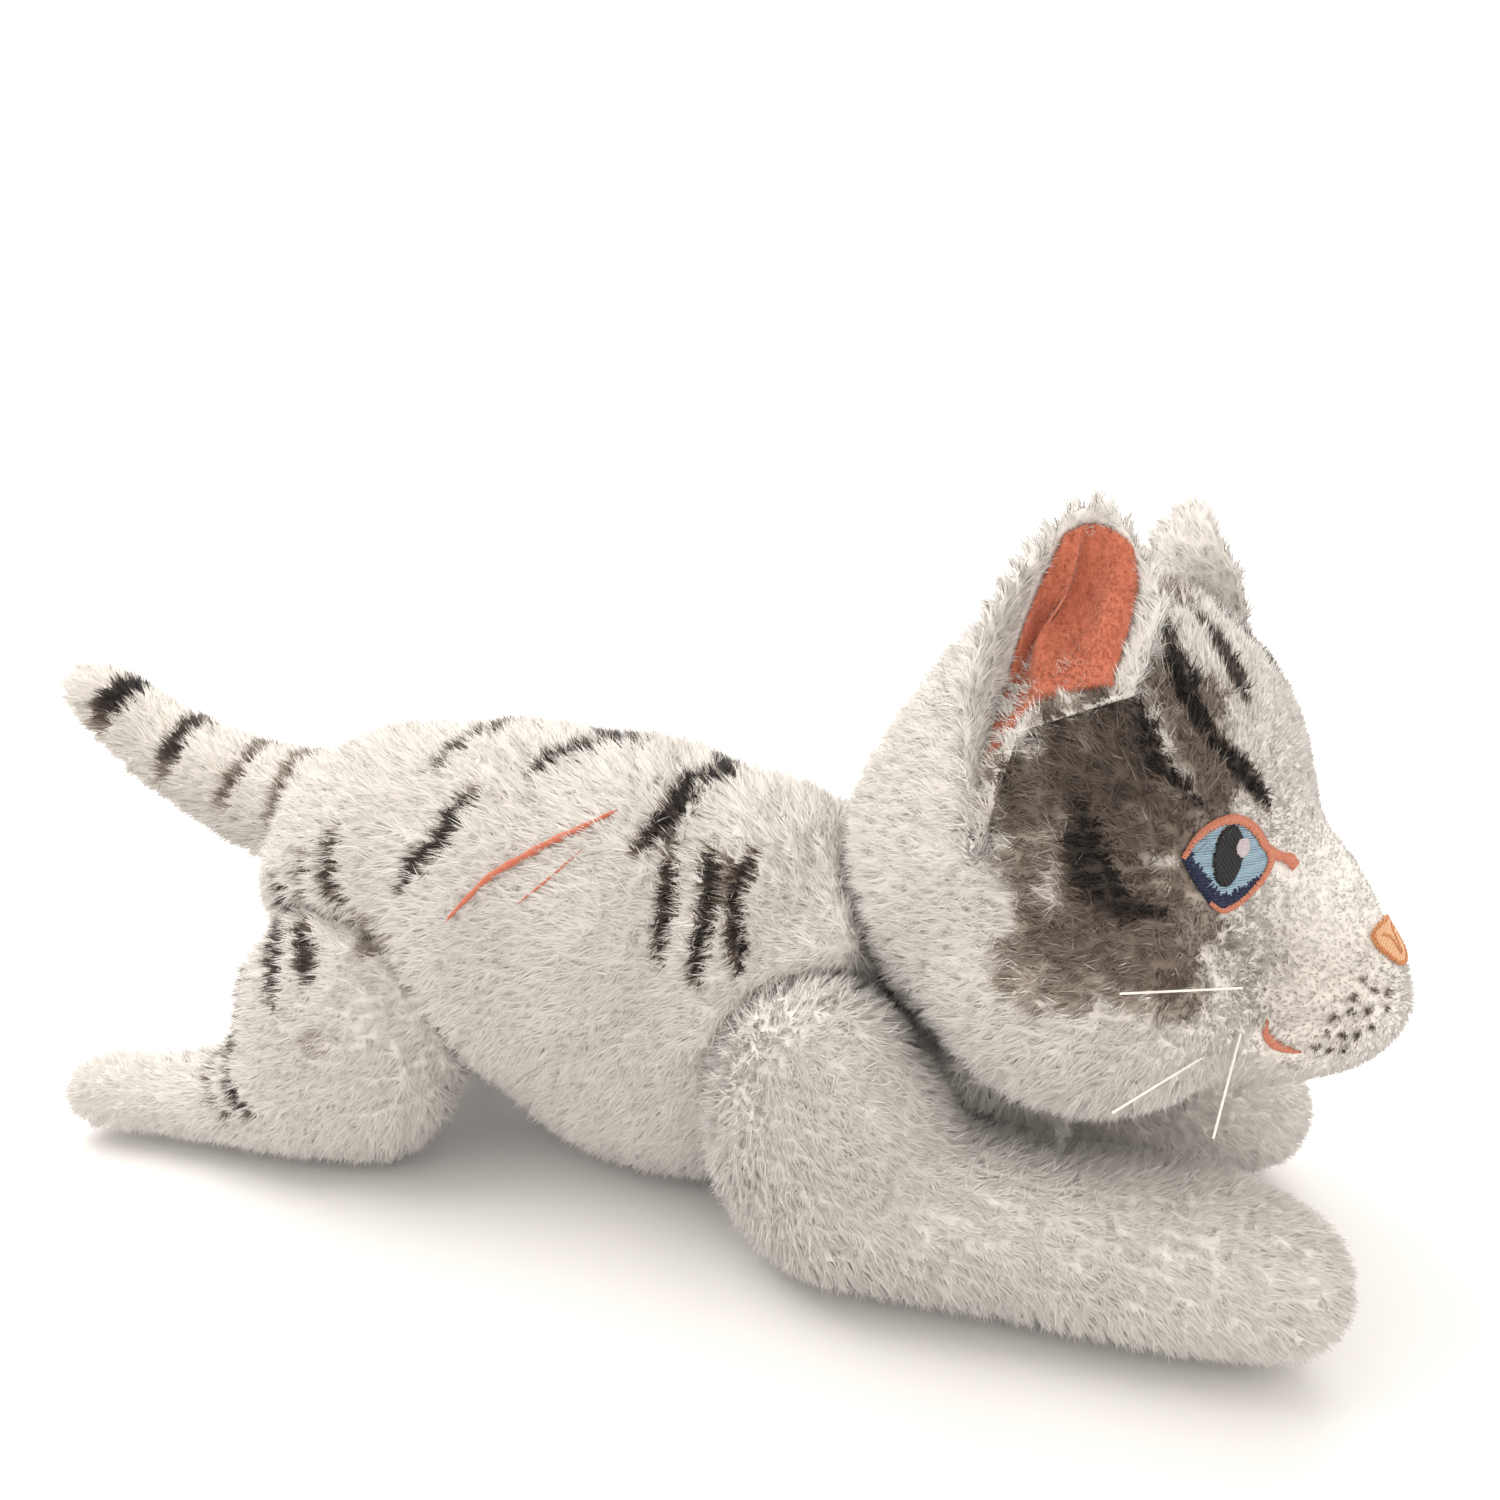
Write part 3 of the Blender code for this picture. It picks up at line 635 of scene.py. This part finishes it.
def dress(skin, name, tone_at, comb_at, length_at, seed, near, bare=None, margin=0.95, least=0.4, fine=EVEN):
    """Grows the pile of one skin: it leans over the seams with near parts and keeps off bare patches.

    No fibre grows within margin mm of a patch, and out to 3 mm it is shorter, down to the least share.
    """
    rng = np.random.default_rng(seed)
    place, facing, corners, weights = scatter(skin.data, DENSITY * fine[0], rng)
    length = length_at(place)
    comb = comb_at(place)
    keep = place[:, 2] > 0.4
    gap = (clearance(skin.data, near, 9)[corners] * weights).sum(1)
    keep &= gap > 0.5
    length = length * (1 + 0.3 * np.clip(1 - gap / SEAM, 0, 1))
    for i in np.nonzero((gap < SEAM) & keep)[0]:
        toward = np.array(near.find_nearest(place[i])[0]) - place[i]
        comb[i] += 1.9 * (1 - gap[i] / SEAM) * toward / max(np.linalg.norm(toward), 1e-6)
    if bare is not None:
        close = (clearance(skin.data, bare, 8)[corners] * weights).sum(1) < 6
        gaps = np.full(len(place), 9.0)
        gaps[close] = [(bare.find_nearest(point, 8.0)[3] or 9.0) for point in place[close]]
        keep &= gaps > margin
        length = length * np.clip(gaps / 3.0, least, 1)
    place, facing, length, comb = place[keep], facing[keep], length[keep], comb[keep]
    # underneath, the pile is pressed no longer than its room above the floor
    pressed = np.minimum(length, np.maximum(place[:, 2] * 0.8, 0.6))
    length = np.where(facing[:, 2] < -0.6, pressed, length)
    # a fibre takes the colour of the place where its upper half lies
    lying = unit(comb - facing * (comb * facing).sum(1, keepdims=True))
    tone = tone_at(place + lying * (0.45 * length)[:, None])
    fleck = rng.normal(size=len(place))
    index = pile_colour(np.clip(tone + 0.07 * fleck * (tone > 0.1), 0, 1))
    index = np.where(tone < 0.1, np.clip(np.round(0.35 + 12 * tone + 0.55 * fleck), 0, 2).astype(int), index)
    # white fibres show through the edge of a brushed stripe
    index = np.where((tone > 0.1) & (tone < 0.4) & (rng.uniform(size=len(place)) < 0.04), 2, index)
    width, pile = WIDTH * fine[1], f"{name}_pile"
    grow_pile(pile, name, place, facing, comb, length, width, index, PILE_MATERIALS, seed)


def constant(value):
    return lambda points: np.full(len(points), float(value))


def combed(direction):
    return lambda points: np.tile(np.array(direction, float), (len(points), 1))


def head_comb(points):
    """The face's pile runs back from the nose."""
    local = world_to_head(points)
    away = unit(local - np.array([95.0, 0, -12.0]))
    return (turned(away, HEAD_TURN) - np.array([0, 0, 0.2])) * 0.9


def head_length(points):
    """Short on the muzzle, fuller over the cheeks and the back of the head."""
    local = world_to_head(points)
    full = np.interp(local[:, 0], [-60, 30, 52, 66, 80], [6.4, 5.4, 3.2, 2.0, 1.7])
    brow = np.clip((local[:, 0] - 20) / 15, 0, 1) * np.clip((local[:, 2] + 5) / 15, 0, 1)
    return full * (1 - 0.4 * brow * np.clip(1.4 - np.abs(local[:, 1]) / 25, 0, 1))


def leg_length(points):
    return np.interp(np.abs(points[:, 0]), [60, 130, 165, 190], [5.6, 5.0, 4.0, 3.6])


# ---------------------------------------------------------------- the stuffed parts

torso = make_skin("torso")
tail = make_skin("tail", voxel=3)
legs = {}
for pair in ("front_leg", "hind_leg"):
    for side in ("right", "left"):
        name = f"{pair}_{side}"
        legs[name] = make_skin(name, voxel=3)
head = make_skin("head", proud=1.8, voxel=3, cloth=False)


def meet(skin, others, grow=2.6, reach=10.0):
    """Grows a skin towards the parts it is sewn against, so that their pile closes over the seam."""
    near = 1 - clearance(skin.data, tree_of(others), reach) / reach
    growth = (grow * MM * np.sqrt(near))[:, None]
    set_coordinates(skin.data, coordinates(skin.data) + normals_of(skin.data) * growth)


meet(torso, [head, tail, *legs.values()])
meet(tail, [torso])
for leg in legs.values():
    meet(leg, [torso, head], 3.2)

head_tree = tree_of([head])
torso_tree = tree_of([torso])
patches = [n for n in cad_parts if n.startswith(("eye_", "nose", "mouth_"))]
patch_tree = tree_of([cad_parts[n] for n in patches])
slit_tree = tree_of([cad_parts["flank_slit"]])
around_torso = tree_of([head, tail, *legs.values()])
around_legs = tree_of([head, torso])

# The markings laid down on the skins; the head's are in its own axes
dots = [np.array(head_tree.find_nearest(head_to_world(dot)[0])[0]) for dot in WHISKER_DOTS]
MARKS = {
    "body": settled(BODY_STRIPES, tree_of([torso, legs["hind_leg_right"]])),
    "head": settled(HEAD_STRIPES, head_tree, head_to_world, world_to_head),
    "dots": [world_to_head(dot[None])[0] for dot in dots],
}
colour_skin(torso, body_tone)
colour_skin(tail, tail_tone)
colour_skin(head, head_tone)
for leg in legs.values():
    colour_skin(leg, body_tone)

rearwards = combed((-0.85, 0, -0.35))
dress(torso, "torso", body_tone, rearwards, constant(6.0), 11, around_torso, slit_tree, -1, 0.82)
dress(tail, "tail", tail_tone, combed((-0.85, -0.1, 0.45)), constant(5.2), 12, torso_tree)
for seed, (name, skin) in enumerate(legs.items()):
    comb = (0.8, 0, -0.3) if name.startswith("front") else (-0.7, 0, -0.4)
    dress(skin, name, body_tone, combed(comb), leg_length, 20 + seed, around_legs)
dress(head, "head", head_tone, head_comb, head_length, 30, torso_tree, patch_tree, fine=FINER)

# ---------------------------------------------------------------- the ears

# The right ear in the head's axes, mm: its foot's line, its tip, and its width and opening directions
EAR_FOOT = [np.array(p, float) for p in ((4, -58, 14), (6, -50, 40), (27, -40, 50))]
EAR_TIP = np.array([12.5, -34.5, 84])
EAR_ACROSS = np.array([0.86, 0.5, 0])
EAR_OPENING = np.array([0.5, -0.86, 0])


def ear_point(s, t):
    """A point of the right ear's leaf: s runs from its rear edge to its front edge, t from foot to tip."""
    a, b, c = EAR_FOOT
    control = b * 2 - (a + c) / 2
    k = (s + 1) / 2
    foot = a * (1 - k) ** 2 + control * 2 * k * (1 - k) + c * k**2
    tip = EAR_TIP + EAR_ACROSS * 9.5 * s - np.array([0, 0, 7]) * s**2
    swelling = math.sin(math.pi * min(1, max(0, t) * 1.02) ** 0.8)
    bulge = math.sin(math.pi * min(1, max(0, t) * 1.02) ** 1.3)
    edge = EAR_ACROSS * (-8 * s**2 if s < 0 else 4 * s**2) * bulge
    cup = EAR_OPENING * -11 * (1 - s**2) * swelling**0.7
    return foot + (tip - foot) * t + edge + cup


def ear_normal(s, t):
    du = ear_point(min(1, s + 0.05), t) - ear_point(max(-1, s - 0.05), t)
    dv = ear_point(s, min(1, t + 0.03)) - ear_point(s, max(0, t - 0.03))
    normal = np.cross(du, dv)
    return normal / np.linalg.norm(normal)


def leaf(name, side, back, front, s_range, t_range, fold=0.0):
    """A soft-edged leaf of the ear, between two distances from its middle; fold raises its creases."""
    points, faces = [], []
    columns, levels = 28, 34
    ring = 2 * columns + 2
    end = t_range[1]
    for row in range(levels + 1):
        t = t_range[0] + (t_range[1] - t_range[0]) * row / levels
        for layer in (0, 1):
            for column in range(columns + 1):
                k = column / columns if layer == 0 else 1 - column / columns
                s = s_range[0] + (s_range[1] - s_range[0]) * k
                rounding = math.sqrt(max(0.0, 1 - abs(2 * k - 1) ** 6))
                closing = math.sqrt(max(0.01, 1 - max(0.0, (t - end + 0.08) / 0.08) ** 2))
                middle, half = (back + front) / 2, (front - back) / 2 * rounding * closing
                away = middle + (half if layer else -half)
                if fold and layer:
                    ridge = math.exp(-(((s - 0.42 + 0.72 * t) / 0.15) ** 2))
                    away += fold * ridge * math.sin(math.pi * min(1, t * 1.05)) ** 0.6
                    pleat = math.exp(-(((s - 0.78 + 0.1 * t) / 0.13) ** 2))
                    away += 0.6 * fold * pleat * math.sin(math.pi * t) ** 2
                points.append(ear_point(s, t) + ear_normal(s, t) * away)
    for row in range(levels):
        for i in range(ring):
            k = (i + 1) % ring
            faces.append([row * ring + i, row * ring + k, (row + 1) * ring + k, (row + 1) * ring + i])
    faces.append(list(range(ring))[::-1])
    faces.append([levels * ring + i for i in range(ring)])
    points = np.array(points)
    if side == "left":
        points[:, 1] *= -1
        faces = [face[::-1] for face in faces]
    return placed(name, closed_mesh(name, head_to_world(points), faces, check=True))


def clear_of_head(obj, gap):
    """Keeps an ear's foot just off the head's cloth."""
    points = coordinates(obj.data) / MM
    for i, point in enumerate(points):
        near, normal, _, distance = head_tree.find_nearest(point, 14)
        if near is None:
            continue
        depth = (Vector(point) - near).dot(normal)
        if depth < gap:
            points[i] += np.array(normal) * (gap - depth)
    set_coordinates(obj.data, points * MM)


for side in ("right", "left"):
    back = leaf(f"ear_{side}_skin", side, -3.0, -0.1, (-1, 1), (0.0, 1.0))
    clear_of_head(back, 0.8)
    back.data.materials.append(COAT)
    layer = back.data.color_attributes.new("coat", "FLOAT_COLOR", "POINT")
    spots = coordinates(back.data) / MM
    off_head = np.array([(head_tree.find_nearest(p, 9.0)[3] or 9.0) for p in spots])
    tone = head_tone(spots) * (off_head < 5)
    layer.data.foreach_set("color", np.insert(np.array(PILE)[pile_colour(tone)], 3, 1.0, axis=1).ravel())
    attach(back, f"ear_{side}")
    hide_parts(f"ear_back_{side}")
    lining = leaf(f"ear_{side}_fleece", side, 0.1, 1.4, (-0.5, 0.86), (0.03, 0.95), fold=4.6)
    clear_of_head(lining, 1.0)
    lining.data.materials.append(FLEECE)
    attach(lining, f"ear_{side}")
    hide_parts(f"ear_lining_{side}")

    rng = np.random.default_rng(50)
    opening = head_to_world(EAR_OPENING * (1, 1 if side == "right" else -1, 1)) - HEAD_CENTRE
    place, facing, _, _ = scatter(back.data, DENSITY * FINER[0], rng)
    lining_tree = tree_of([lining])
    inside = np.array([(lining_tree.find_nearest(p, 4.0)[3] or 9.0) for p in place])
    off_head = np.array([(head_tree.find_nearest(p, 6.0)[3] or 9.0) for p in place])
    # none under the lining, except at the tip
    keep = (inside > 1.3) | ((facing @ opening[0]) < -0.2) | (place[:, 2] > HEAD_CENTRE[2] + 80)
    place, facing, inside, off_head = place[keep], facing[keep], inside[keep], off_head[keep]
    comb = np.tile(np.array([-0.35, 0, 0.75]), (len(place), 1))
    length = np.clip(3.0 + inside * 0.5, 3.0, 5.4)
    index = np.clip(np.round(0.3 + 0.5 * rng.normal(size=len(place))), 0, 2).astype(int)
    # at the foot, on the opening's side, the cheek's pile runs up into the ear
    at_foot = (off_head < 6) & ((facing @ opening[0]) > -0.2)
    cheek = pile_colour(np.clip(head_tone(place) + 0.05 * rng.normal(size=len(place)), 0, 1))
    index = np.where(at_foot, cheek, index)
    comb[at_foot] = (-0.3, 0, 0.5)
    ear, thin = f"ear_{side}", WIDTH * FINER[1]
    grow_pile(f"{ear}_pile", ear, place, facing, comb, length, thin, index, PILE_MATERIALS, 51)
    place, facing, _, _ = scatter(lining.data, DENSITY * 2.5, rng)
    keep = (facing @ opening[0]) > -0.1
    place, facing = place[keep], facing[keep]
    comb = np.tile(np.array([0.2, 0, -0.6]), (len(place), 1))
    index = rng.integers(0, 3, len(place))
    length = np.full(len(place), 1.1)
    name = f"{ear}_fleece_pile"
    grow_pile(name, ear, place, facing, comb, length, 0.32, index, CORAL_MATERIALS, 52)

# ---------------------------------------------------------------- stitched face, slit and whiskers

# Outlines in mm on planes that face each patch: across to the nose, then up
EYE = [
    *[(-10.4, 1.2), (-7.6, 5.8), (-3.5, 8.6), (2.0, 9.6), (7.2, 7.6), (11.0, 3.9)],
    *[(13.8, 0.8), (12.6, -2.8), (8.8, -6.4), (3.6, -9.3), (-1.6, -9.8), (-6.0, -5.2)],
]
NOSE = [(0, 4.2), (3.2, 4.2), (5.2, 3.4), (5.8, 1.0), (4.8, -2), (2.8, -4.8), (0, -6)]
NOSE += [(-x, y) for x, y in NOSE[5:0:-1]]
MOUTH = [(-6.2, 2.6), (-4.6, -0.2), (-1.8, -1.8), (1.4, -2.2), (4.2, -1.2), (6.2, 0.4)]
# Where each patch sits, in the head's axes: its centre, the way across it and the way it faces
EYE_SPOT = ((48.4, -32.8, 16.5), (0.54, 0.84, -0.06), (0.82, -0.55, 0.18))
NOSE_SPOT = ((75.6, -1.2, -3.4), (0, 1, 0), (0.8, 0, 0.6))
MOUTH_SPOT = ((62.5, -26.5, -22.5), (0.69, 0.44, -0.57), (0.42, -0.87, -0.25))


def onto_head(points, spot, side, lift):
    """Places of flat points of a patch on the head's skin, and the skin's facings there."""
    centre, across, facing = [np.array(v, float) for v in spot]
    across = across / np.linalg.norm(across)
    facing = facing - across * (facing @ across)
    facing /= np.linalg.norm(facing)
    up = np.cross(facing, across)
    places, facings = [], []
    flip = np.array([1, 1 if side == "right" else -1, 1])
    ray = Vector(turned((facing * flip)[None], HEAD_TURN)[0])
    for x, y in points:
        local = (centre + across * x + up * y) * flip
        start = Vector(head_to_world(local)[0])
        hit, normal, _, _ = head_tree.ray_cast(start + ray * 16, -ray, 40)
        if hit is None:
            hit, normal, _, _ = head_tree.find_nearest(start)
        places.append(np.array(hit + normal * lift))
        facings.append(np.array(normal))
    return places, facings


def closed(points):
    """A smooth closed outline through the given points."""
    return flowing([*points, points[0]], 0.45)


def rows(outline, angle, pitch, rng):
    """Straight threads that fill an outline, as (start, end) pairs, a little uneven at their ends."""
    c, s = math.cos(math.radians(angle)), math.sin(math.radians(angle))
    turn = np.array([[c, -s], [s, c]])
    a = np.array(outline) @ turn
    b = np.roll(a, -1, axis=0)
    out = []
    for y in np.arange(a[:, 1].min() + pitch / 2, a[:, 1].max(), pitch):
        cut = (a[:, 1] - y) * (b[:, 1] - y) < 0
        share = (y - a[cut, 1]) / (b[cut, 1] - a[cut, 1])
        crossings = sorted(a[cut, 0] + share * (b[cut, 0] - a[cut, 0]))
        for x0, x1 in zip(crossings[::2], crossings[1::2]):
            if x1 - x0 > 0.5:
                ends = np.array([(x0 - rng.uniform(0, 0.25), y), (x1 + rng.uniform(0, 0.25), y)])
                out.append(ends @ turn.T)
    return out


def satin(path, widths, pitch, rng, uneven=0.12):
    """Short threads side by side, from a path inwards, which is to its right."""
    out = []
    length = np.concatenate([[0], np.cumsum(np.linalg.norm(np.diff(path, axis=0), axis=1))])
    for at in np.arange(pitch / 2, length[-1], pitch):
        i = min(np.searchsorted(length, at), len(path) - 1)
        along = path[min(i + 1, len(path) - 1)] - path[max(i - 1, 0)]
        along = along / max(np.linalg.norm(along), 1e-9)
        inward = np.array([along[1], -along[0]])
        width = np.interp(at / length[-1], np.linspace(0, 1, len(widths)), widths)
        width *= 1 + rng.uniform(-uneven, uneven)
        start = path[i] - inward * rng.uniform(0, 0.15)
        out.append(np.array([start, start + inward * width + along * rng.uniform(-0.15, 0.15)]))
    return out


THREAD_SIDES = 6
LIP_SIDES = 8


def sewn(name, node, threads, spot, side, lift, thick, material):
    """Threads laid on the head's skin, each a closed tube that dips into the cloth at both ends."""
    points, faces = [], []
    for start, end in threads:
        count = max(3, int(np.linalg.norm(end - start) / 0.9) + 1)
        line = [start + (end - start) * i / (count - 1) for i in range(count)]
        places, facings = onto_head(line, spot, side, lift)
        first = len(points)
        for i, (place, facing) in enumerate(zip(places, facings)):
            along = places[min(i + 1, count - 1)] - places[max(i - 1, 0)]
            beside = np.cross(facing, along)
            beside /= max(np.linalg.norm(beside), 1e-9)
            end_dip = 0.6 * thick if i in (0, count - 1) else 0
            for k in range(THREAD_SIDES):
                a = 2 * math.pi * k / THREAD_SIDES
                edge = (beside * math.cos(a) + facing * math.sin(a) * 0.8) * thick / 2
                points.append(place - facing * end_dip + edge)
        faces += tube_faces(first, count, THREAD_SIDES)
    mesh = closed_mesh(name, points, faces)
    mesh.materials.append(material)
    obj = placed(name, mesh)
    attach(obj, "head")
    if node:
        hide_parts(node)


# each thread's first colour is its painted lit crown, the second its painted shade between threads
CORAL = thread("coral_satin", (0.86, 0.36, 0.23), (0.68, 0.22, 0.13), (0, 30, 20))
BLUE = thread("blue_satin", (0.50, 0.67, 0.78), (0.22, 0.36, 0.48), (0, 0, 0), 0.5)
NAVY = thread("navy_satin", (0.014, 0.024, 0.085), (0.005, 0.009, 0.035), (0, 0, 0), 0.7)
BLACK = thread("black_satin", (0.012, 0.011, 0.012), (0.003, 0.003, 0.003), (70, 0, 0), 0.6)
PALE = thread("white_satin", (0.82, 0.74, 0.76), (0.64, 0.54, 0.57), (20, 0, 0))
PEACH = thread("peach_satin", (0.93, 0.60, 0.36), (0.76, 0.40, 0.20), (0, 60, 0), 0.7)
ORANGE = thread("orange_satin", (0.78, 0.34, 0.14), (0.60, 0.22, 0.08), (0, 60, 0), 0.7)


def oval(x, y, a, b, lean=0.0):
    angles = np.linspace(0, 2 * math.pi, 40, endpoint=False)
    return np.stack([x + a * np.cos(angles) + lean * b * np.sin(angles), y + b * np.sin(angles)], 1)


def inwards(outline, by):
    along = np.roll(outline, -1, axis=0) - np.roll(outline, 1, axis=0)
    along /= np.linalg.norm(along, axis=1, keepdims=True)
    return outline + np.stack([along[:, 1], -along[:, 0]], 1) * by


def stretch(outline, first, last):
    """Part of a closed outline, between two fractions of its way round."""
    count = len(outline)
    return np.array([outline[i % count] for i in range(int(first * count), int(last * count) + 1)])


for side in ("right", "left"):
    rng = np.random.default_rng(70)
    eye = closed(EYE)
    pupil, glint = oval(0.6, 1.5, 3.7, 6.3, 0.06), oval(4.0, 3.2, 1.7, 2.0)
    iris = rows(inwards(eye, 0.5), 2, 0.62, rng)
    sewn(f"iris_{side}", f"eye_iris_{side}", iris, EYE_SPOT, side, 0.35, 0.78, BLUE)
    edge = satin(stretch(eye, 0.52, 1.03), [0.8, 2.2, 3.0, 3.4, 3.4, 3.2, 3.0, 2.4, 2.2], 0.34, rng, 0.22)
    sewn(f"navy_{side}", f"eye_shadow_{side}", edge, EYE_SPOT, side, 0.75, 0.5, NAVY)
    dark = rows(pupil, 90, 0.42, rng)
    sewn(f"pupil_{side}", f"eye_pupil_{side}", dark, EYE_SPOT, side, 1.0, 0.6, BLACK)
    shine = rows(glint, 8, 0.42, rng)
    sewn(f"glint_{side}", f"eye_glint_{side}", shine, EYE_SPOT, side, 1.35, 0.55, PALE)
    widths = [0.9, 1.5, 1.9, 2.0, 1.9, 1.8, 1.6, 1.4, 1.2, 0.9]
    rim = satin(inwards(stretch(eye, 0.0, 0.82), -0.3), widths, 0.32, rng)
    duct = flowing([(12.6, 3.0), (16.5, 1.4), (19.6, 0.8), (21.4, -0.9)], 0.4)
    rim += satin(duct, [2.6, 2.1, 2.0, 2.8, 2.4], 0.32, rng)
    sewn(f"rim_{side}", f"eye_rim_{side}", rim, EYE_SPOT, side, 1.1, 0.5, CORAL)
    mouth = satin(flowing(MOUTH, 0.4), [0.3, 1.3, 2.0, 2.1, 1.6, 0.3], 0.34, rng)
    mouth = [np.array([2 * a - b, a]) for a, b in mouth]
    sewn(f"smile_{side}", f"mouth_{side}", mouth, MOUTH_SPOT, side, 0.6, 0.5, CORAL)

nose = closed(NOSE)
rng = np.random.default_rng(71)
sewn("nose_fill", "nose", rows(nose, 12, 0.5, rng), NOSE_SPOT, "right", 0.6, 0.68, PEACH)
edging = satin(inwards(nose, -0.2), [0.8, 0.9, 0.8], 0.36, rng)
nostrils = satin(flowing([(-3.4, 2.4), (-1.2, 0.6), (-0.4, -3.6)], 0.4), [0.7, 0.8, 0.5], 0.36, rng)
nostrils += satin(flowing([(3.4, 2.4), (1.2, 0.6), (0.4, -3.6)], 0.4), [0.7, 0.8, 0.5], 0.36, rng)
sewn("nose_edge", None, edging + nostrils, NOSE_SPOT, "right", 1.0, 0.42, ORANGE)


def lip(name, runs):
    """Thin rolled edges of cloth that lie on the torso's skin, tapering at both ends."""
    points, faces = [], []
    for line, thick in runs:
        path = flowing(line, 1.0)
        hits = [torso_tree.find_nearest(point)[:2] for point in path]
        places = [np.array(place + normal * 2.3) for place, normal in hits]
        first, count = len(points), len(places)
        for i, (place, (_, normal)) in enumerate(zip(places, hits)):
            along = places[min(i + 1, count - 1)] - places[max(i - 1, 0)]
            beside = unit(np.cross(np.array(normal), along)[None])[0]
            wide = thick * (0.15 + 0.85 * math.sin(math.pi * (i + 0.5) / count) ** 0.5)
            wide *= 1 + 0.15 * math.sin(i * 0.9)
            for k in range(LIP_SIDES):
                a = 2 * math.pi * k / LIP_SIDES
                points.append(place + (beside * math.cos(a) * 0.8 + np.array(normal) * math.sin(a)) * wide)
        faces += tube_faces(first, count, LIP_SIDES)
    mesh = closed_mesh(name, points, faces)
    mesh.materials.append(FLEECE)
    obj = placed(name, mesh)
    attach(obj, "torso")
    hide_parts("flank_slit")


# The sewn pleat and the fainter crease beside it, in mm
slit = [(-45, -53, 89), (-39, -51, 96), (-33, -47, 102), (-22, -41, 108), (-12, -38, 114), (-4, -32, 118)]
crease = [(-26, -48, 94), (-17, -45, 102), (-10, -41, 109)]
lip("slit_lip", [(slit, 1.2), (crease, 0.45)])

for node_name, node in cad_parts.items():
    if node_name.startswith("whisker"):
        node.data.materials.clear()
        node.data.materials.append(NYLON)

# ---------------------------------------------------------------- stage, light and camera


def backdrop():
    """A pale floor that curves up into a pale wall far behind, with painted light: lighter and faintly
    glowing towards the wall.
    """
    profile = [(-3.0, 0.0), (0.2, 0.0), (0.45, 0.0), (0.8, 0.0), (1.2, 0.0)]
    profile += [(1.2 + 1.2 * math.sin(a), 1.2 - 1.2 * math.cos(a)) for a in np.linspace(0.1, math.pi / 2, 14)]
    profile += [(2.4, 4.0)]
    forward = np.array([-math.sin(CAMERA_YAW), math.cos(CAMERA_YAW)])
    right = np.array([math.cos(CAMERA_YAW), math.sin(CAMERA_YAW)])
    points, faces = [], []
    for reach, height in profile:
        for across in (-5.0, 5.0):
            x, y = forward * reach + right * across
            points.append((x, y, height))
    for i in range(len(profile) - 1):
        faces.append([2 * i, 2 * i + 1, 2 * i + 3, 2 * i + 2])
    mesh = bpy.data.meshes.new("floor")
    mesh.from_pydata(points, [], faces)
    mesh.shade_smooth()
    obj = placed("floor", mesh)
    made, tree, shader = nodes_of("pale_paper")
    # painted light: the paper is darker by the cat and lighter towards the wall, which gets less light
    shade = [0.84, 0.84, 0.90, 0.95] + [0.97] * (len(profile) - 4)
    layer = mesh.color_attributes.new("paper", "FLOAT_COLOR", "POINT")
    tints = [(v, v * 0.985, v * 0.98, 1) for v in shade for _ in range(2)]
    layer.data.foreach_set("color", np.array(tints).ravel())
    tint = tree.nodes.new("ShaderNodeAttribute")
    tint.attribute_name = "paper"
    tree.links.new(tint.outputs["Color"], shader.inputs["Base Color"])
    # painted light: the wall glows faintly, though it is no lamp
    painted_wall_glow = [0.0, 0.0, 0.02, 0.08] + [0.3] * (len(profile) - 4)
    layer = mesh.color_attributes.new("painted_wall_glow", "FLOAT_COLOR", "POINT")
    layer.data.foreach_set("color", np.array([(v, v, v, 1) for v in painted_wall_glow for _ in range(2)]).ravel())
    far = tree.nodes.new("ShaderNodeAttribute")
    far.attribute_name = "painted_wall_glow"
    tree.links.new(far.outputs["Color"], shader.inputs["Emission Color"])
    shader.inputs["Emission Strength"].default_value = 1
    shader.inputs["Roughness"].default_value = 0.7
    mesh.materials.append(made)


def area_light(name, place, size, power, colour):
    """A round lamp that faces the cat."""
    light = bpy.data.lights.new(name, "AREA")
    light.shape = "DISK"
    light.size = size
    light.energy = power
    light.color = colour
    obj = placed(name, light)
    obj.location = place
    aim = Vector((0, 0, 0.07)) - Vector(place)
    obj.rotation_euler = aim.to_track_quat("-Z", "Y").to_euler()


backdrop()
bpy.context.scene.view_settings.view_transform = "Standard"
world = bpy.data.worlds.new("soft_white")
bpy.context.scene.world = world
world.use_nodes = True
world.node_tree.nodes["Background"].inputs["Color"].default_value = (1, 0.963, 0.918, 1)
world.node_tree.nodes["Background"].inputs["Strength"].default_value = 1.22
area_light("key", (-0.55, -0.05, 1.0), 0.8, 6.0, (1, 0.98, 0.955))
area_light("fill", (0.2, 0.9, 0.9), 0.8, 3.5, (1, 0.98, 0.96))

camera = bpy.data.cameras.new("camera")
camera_object = placed("camera", camera)
camera.sensor_width = 36
camera.lens = 26.19
camera.shift_y = 0.125
camera.clip_start = 0.01
level = math.cos(CAMERA_DROP)
look = Vector((-math.sin(CAMERA_YAW) * level, math.cos(CAMERA_YAW) * level, -math.sin(CAMERA_DROP)))
camera_object.location = (0.1204, -0.2802, 0.19)
camera_object.rotation_euler = look.to_track_quat("-Z", "Y").to_euler()
bpy.context.scene.camera = camera_object
